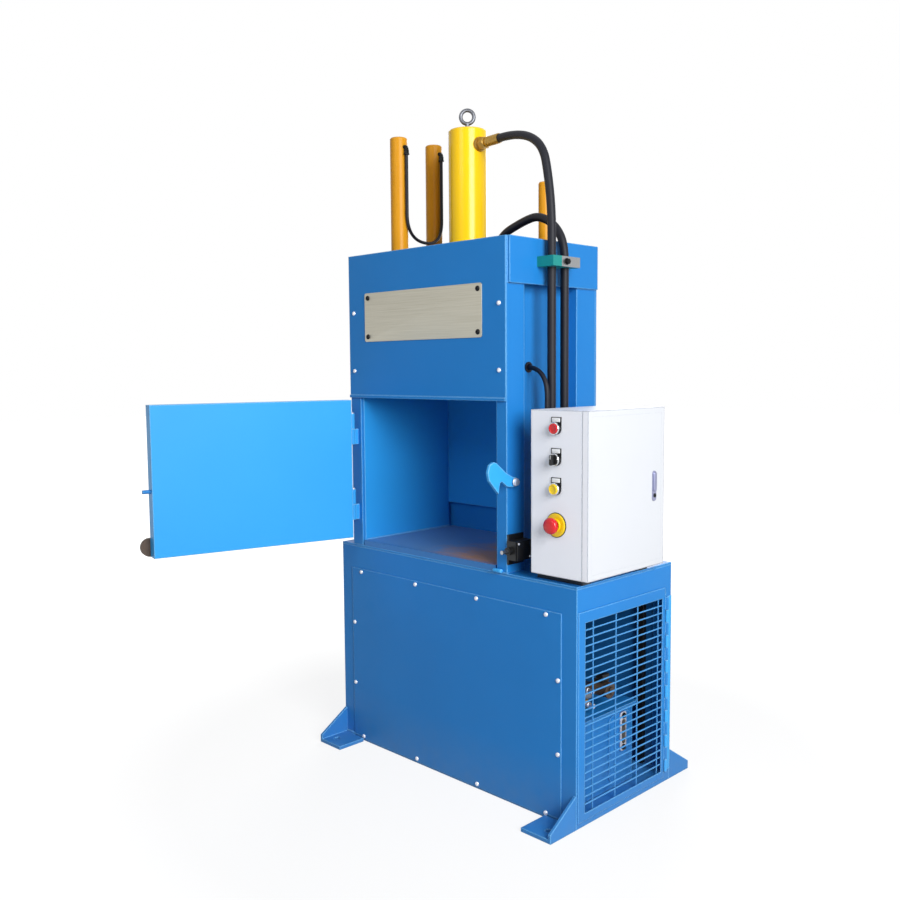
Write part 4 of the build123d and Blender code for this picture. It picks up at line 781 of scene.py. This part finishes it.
def makeBoard():
    look = boardLook
    low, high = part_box("control_back_board")
    face, back = look["face"], look["face"] - look["wall"]
    middle = (low[2] + high[2]) / 2
    plate = [roundedBlock("board", (back, low[1], low[2]), (face, high[1], high[2]), 0.004, 0, 0.0005,
                          "brightZinc")]
    r, tall = look["post"], back - low[0]
    post = turned("boardPost", [(0, 0), (r, 0), (r, tall), (0, tall)], "brightZinc", 20)
    inset = look["inset"]
    feet = [((low[0], y, z), (1, 0, 0)) for y in (low[1] + inset, high[1] - inset)
            for z in (low[2] + inset, high[2] - inset)]
    plate.append(repeat("boardPosts", post, feet))
    # the rail: a web on the plate, two sides, and two lips that the contactors hook on
    half = look["railHeight"] / 2
    web, lip = half * look["railWeb"], half * look["railLip"]
    foot, sheet = face + look["rail"], look["railSheet"]
    for z0, z1, x0, x1 in ((-web, web, face, face + sheet), (-web, -lip, face, foot), (lip, web, face, foot),
                           (-half, -lip, foot - sheet, foot), (lip, half, foot - sheet, foot)):
        plate.append(roundedBlock("rail", (x0, low[1], middle + z0), (x1, high[1], middle + z1), 0.0003, 0,
                                  0.0001, "brightZinc"))
    board = joinPieces("backBoard", plate, "brightZinc")
    width, tall = look["width"] / 2, look["height"] / 2
    pitch = (high[1] - low[1]) / look["count"]
    seats = [low[1] + pitch * (number + 0.5) for number in range(look["count"])]
    deep = look["depth"]
    case = roundedBlock("case", (0, -width, -tall), (deep * 0.62, width, tall), 0.002, 0, 0.0012, "blackAbs")
    head = roundedBlock("head", (deep * 0.60, -width * 0.94, -tall * 0.52), (deep, width * 0.94, tall * 0.52),
                        0.003, 0, 0.002, "greyAbs")
    places = [((foot, y, middle), (0, 0, 1)) for y in seats]
    screws = [((foot + deep * 0.62, y + step * width * 0.58, middle + side * tall * 0.76), (1, 0, 0))
              for y in seats for step in (-1, 0, 1) for side in (-1, 1)]
    r = look["screw"]
    screw = turned("terminal", [(0, 0.0010), (r * 0.35, 0.0010), (r * 0.40, 0.0022), (r * 0.82, 0.0018),
                                (r, 0), (0, 0)], "brightZinc", 20)
    made = [board, repeat("contactorCases", case, places), repeat("contactorHeads", head, places),
            repeat("terminalScrews", screw, screws)]
    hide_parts("control_back_board")
    for piece in made:
        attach(piece, "frame")
    print("back board made with", len(seats), "contactors")


makeBoard()

# Nameplate: bare brushed metal with rounded corners
plateLook = {"corner": 0.006, "rim": 0.0005}


def makeNameplate():
    low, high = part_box("nameplate")
    plate = roundedBlock("barePlate", low, high, plateLook["corner"], 1, plateLook["rim"], "brushedPlate")
    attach(plate, "frame")
    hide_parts("nameplate")
    print("nameplate made")


makeNameplate()

# Door switch: lid and two bright screws; insets along Y and Z
switchLook = {"lid": 0.0025, "lidLow": (0.016, 0.014), "lidHigh": (0.004, 0.014), "screw": 0.0032,
              "screwTop": (0.022, 0.020), "screwFoot": (0.010, 0.020)}


def makeSwitchDetail():
    look = switchLook
    low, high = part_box("door_switch")
    x = high[0] + look["lid"]
    (y0, z0), (y1, z1) = look["lidLow"], look["lidHigh"]
    lid = roundedBlock("switchLid", (high[0], low[1] + y0, low[2] + z0), (x, high[1] - y1, high[2] - z1),
                       0.003, 0, 0.0008, "blackAbs")
    r = look["screw"]
    screw = turned("lidScrew", [(0, 0.0010), (r * 0.3, 0.0010), (r * 0.36, 0.0020), (r * 0.8, 0.0016), (r, 0),
                                (0, 0)], "brightZinc", 20)
    (y0, z0), (y1, z1) = look["screwTop"], look["screwFoot"]
    screws = repeat("lidScrews", screw, [((x, low[1] + y0, high[2] - z0), (1, 0, 0)),
                                         ((x, high[1] - y1, low[2] + z1), (1, 0, 0))])
    for piece in (lid, screws):
        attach(piece, "frame")
    print("door switch detail made")


makeSwitchDetail()

# Hinge pins: a domed head over each hinge of the door
hingeLook = {"axis": (-0.3645, -0.2225), "tops": (0.7623, 0.9833), "radius": 0.0070, "height": 0.0042}


def makeHingePins():
    r, h = hingeLook["radius"], hingeLook["height"]
    head = turned("pinHead", [(0, h), (r * 0.55, h * 0.93), (r * 0.86, h * 0.66), (r, h * 0.3), (r, 0),
                              (0, 0)], "brightZinc", 28)
    heads = repeat("hingePinHeads", head, [((*hingeLook["axis"], z), (0, 0, 1)) for z in hingeLook["tops"]])
    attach(heads, "frame")
    print("hinge pin heads made")


makeHingePins()

# Small tab at the foot of the right jamb, in the lighter enamel as a painted highlight
tabLook = {"low": (0.1800, -0.2125, 0.5950), "high": (0.2080, -0.2024, 0.6045), "corner": 0.0035,
           "rim": 0.0012}


def makeTab():
    tab = roundedBlock("jambTab", tabLook["low"], tabLook["high"], tabLook["corner"], 0, tabLook["rim"],
                       "litBlueEnamel")
    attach(tab, "frame")
    print("jamb tab made")


makeTab()

# Black strip up the inside of the back panel, by the rear post: channel and snap-on lid, painted shade that
# stands for the shadow beside the post
shadeTrunkLook = {"low": (0.3440, 0.1880, 0.0245), "high": (0.3668, 0.2024, 0.5180), "lid": 0.0030, "snap": 0.0006,
             "shorter": 0.002, "corner": 0.0008, "lidCorner": 0.0010, "rim": 0.0005}


def makeShadeTrunk():
    look = shadeTrunkLook
    low, high, snap = Vector(look["low"]), Vector(look["high"]), look["snap"]
    channel = roundedBlock("shadeTrunkChannel", low, high, look["corner"], 2, look["rim"], "blackAbs")
    lidHigh = (high.x + snap, low.y + look["lid"], high.z - look["shorter"])
    lid = roundedBlock("shadeTrunkLid", low - Vector((snap, snap, 0)), lidHigh, look["lidCorner"], 2, look["rim"],
                       "blackAbs")
    trunk = joinPieces("shadeStandInTrunk", [channel, lid], "blackAbs")
    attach(trunk, "frame")
    print("wiring trunk made")


makeShadeTrunk()

# Weld beads: overlapping ripples along seams, under the paint
weldLook = {"radius": 0.0034, "pitch": 0.0034, "ripple": (0.9, 0.9, 0.55), "baseSide": 0.2025,
            "footTop": 0.012, "footInset": 0.006, "baseTop": 0.595, "proud": 0.0005,
            "jamb": (0.052, 0.012),   # from the right side
            "leftSeam": ((-0.3400, 0.1460, 0.612), (-0.3400, -0.1900, 0.612))}


def makeWelds():
    look, seams = weldLook, []
    for name in ("foot_front_left", "foot_front_right", "foot_rear_left", "foot_rear_right"):
        low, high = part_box(name)
        y, inset = math.copysign(look["baseSide"], low[1]), look["footInset"]
        seams.append([(x, y, look["footTop"]) for x in (low[0] + inset, high[0] - inset)])
    low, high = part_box("chamber_frame")
    seams.append([(high[0] - inset, low[1] + look["proud"], look["baseTop"]) for inset in look["jamb"]])
    seams.append(look["leftSeam"])
    drop = addShape("ripple", "uv_sphere", segments=10, ring_count=6, radius=look["radius"])
    bpy.ops.transform.resize(value=look["ripple"])
    bpy.ops.object.transform_apply(scale=True)
    drop.data.materials.append(materials["blueEnamel"])
    places = []
    for start, end in seams:
        start, end = Vector(start), Vector(end)
        count = max(2, int((end - start).length / look["pitch"]))
        direction = (end - start).normalized()
        places += [(start.lerp(end, i / count), direction) for i in range(count + 1)]
    beads = repeat("weldBeads", drop, places)
    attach(beads, "frame")
    print("weld ripples:", len(places))


makeWelds()

# Stage: pale floor, soft light mostly from the right, the photograph's camera
stageLook = {"floor": 40.0, "drop": 0.0005, "tone": "#BCBCBC", "roughness": 0.8, "glow": 1.3,
             "nearShare": 0.62, "nearEdge": 0.9, "farEdge": 2.4, "worldLight": 0.16, "aim": (0.0, 0.0, 0.8)}
lampLook = {"keyLamp": {"place": (3.45, -1.3, 2.1), "size": 2.0, "power": 172},
            "fillLamp": {"place": (0.3, -3.3, 2.9), "size": 1.4, "power": 20},
            "topLamp": {"place": (0.2, -0.4, 4.2), "size": 2.6, "power": 8},
            "backLamp": {"place": (-2.2, 3.2, 2.2), "size": 2.0, "power": 70}}
cameraPlace = {"location": (1.7948, -1.9554, 1.1104), "azimuth": 45.35, "pitch": 4.90, "roll": -0.45,
               "lens": 37.88, "sensor": 36.0}


def addSeenRays(tree):   # 1 for what the camera sees, straight or in metal and glass
    path = addNode(tree, "ShaderNodeLightPath", {})
    mirror = addMath(tree, "MAXIMUM", (path, "Is Camera Ray"), (path, "Is Glossy Ray"))
    return addMath(tree, "MAXIMUM", (mirror, "Value"), (path, "Is Transmission Ray"))


def makeStage():
    floor = addShape("floor", "plane", size=stageLook["floor"], location=(0, 0, -stageLook["drop"]))
    material, tree, shader, place = startMaterial("paleFloor", stageLook["tone"], 0.0, stageLook["roughness"])
    seen = addSeenRays(tree)
    glow = addNode(tree, "ShaderNodeEmission", {"Color": (1, 1, 1, 1), "Strength": stageLook["glow"]})
    reach = addNode(tree, "ShaderNodeVectorMath", {"operation": "LENGTH"}, i0=(place, "Object"))
    far = addRange(tree, (reach, "Value"), stageLook["nearEdge"], stageLook["farEdge"],
                   stageLook["nearShare"])
    share = addMath(tree, "MULTIPLY", (seen, "Value"), (far, "Result"))
    blend = addNode(tree, "ShaderNodeMixShader", {}, i0=(share, "Value"), i1=(shader, "BSDF"),
                    i2=(glow, "Emission"))
    tree.links.new(blend.outputs["Shader"], tree.nodes["Material Output"].inputs["Surface"])
    floor.data.materials.append(material)

    world = bpy.data.worlds.new("studio")
    scene.world = world
    world.use_nodes = True
    tree = world.node_tree
    back = tree.nodes["Background"]
    back.inputs["Color"].default_value = (1, 1, 1, 1)
    level = addRange(tree, (addSeenRays(tree), "Value"), 0.0, 1.0, stageLook["worldLight"])
    tree.links.new(level.outputs["Result"], back.inputs["Strength"])

    for name, look in lampLook.items():
        lamp = bpy.data.lights.new(name, "AREA")
        lamp.size = look["size"]
        lamp.energy = look["power"]
        holder = bpy.data.objects.new(name, lamp)
        scene.collection.objects.link(holder)
        aim = Vector(stageLook["aim"]) - Vector(look["place"])
        turn = aim.to_track_quat("-Z", "Y").to_matrix().to_4x4()
        holder.matrix_world = Matrix.Translation(look["place"]) @ turn


def makeCamera():
    azimuth, pitch, roll = [math.radians(cameraPlace[k]) for k in ("azimuth", "pitch", "roll")]
    ahead = Vector((-math.sin(azimuth) * math.cos(pitch), math.cos(azimuth) * math.cos(pitch),
                    -math.sin(pitch)))
    right = Vector((math.cos(azimuth), math.sin(azimuth), 0))
    up = right.cross(ahead)
    tiltRight = right * math.cos(roll) + up * math.sin(roll)
    tiltUp = up * math.cos(roll) - right * math.sin(roll)
    data = bpy.data.cameras.new("camera")
    data.lens = cameraPlace["lens"]
    data.sensor_width = cameraPlace["sensor"]
    camera = bpy.data.objects.new("camera", data)
    scene.collection.objects.link(camera)
    turn = Matrix((tiltRight, tiltUp, -ahead)).transposed().to_4x4()
    camera.matrix_world = Matrix.Translation(cameraPlace["location"]) @ turn
    scene.camera = camera


makeStage()
makeCamera()
print("stage and camera set")
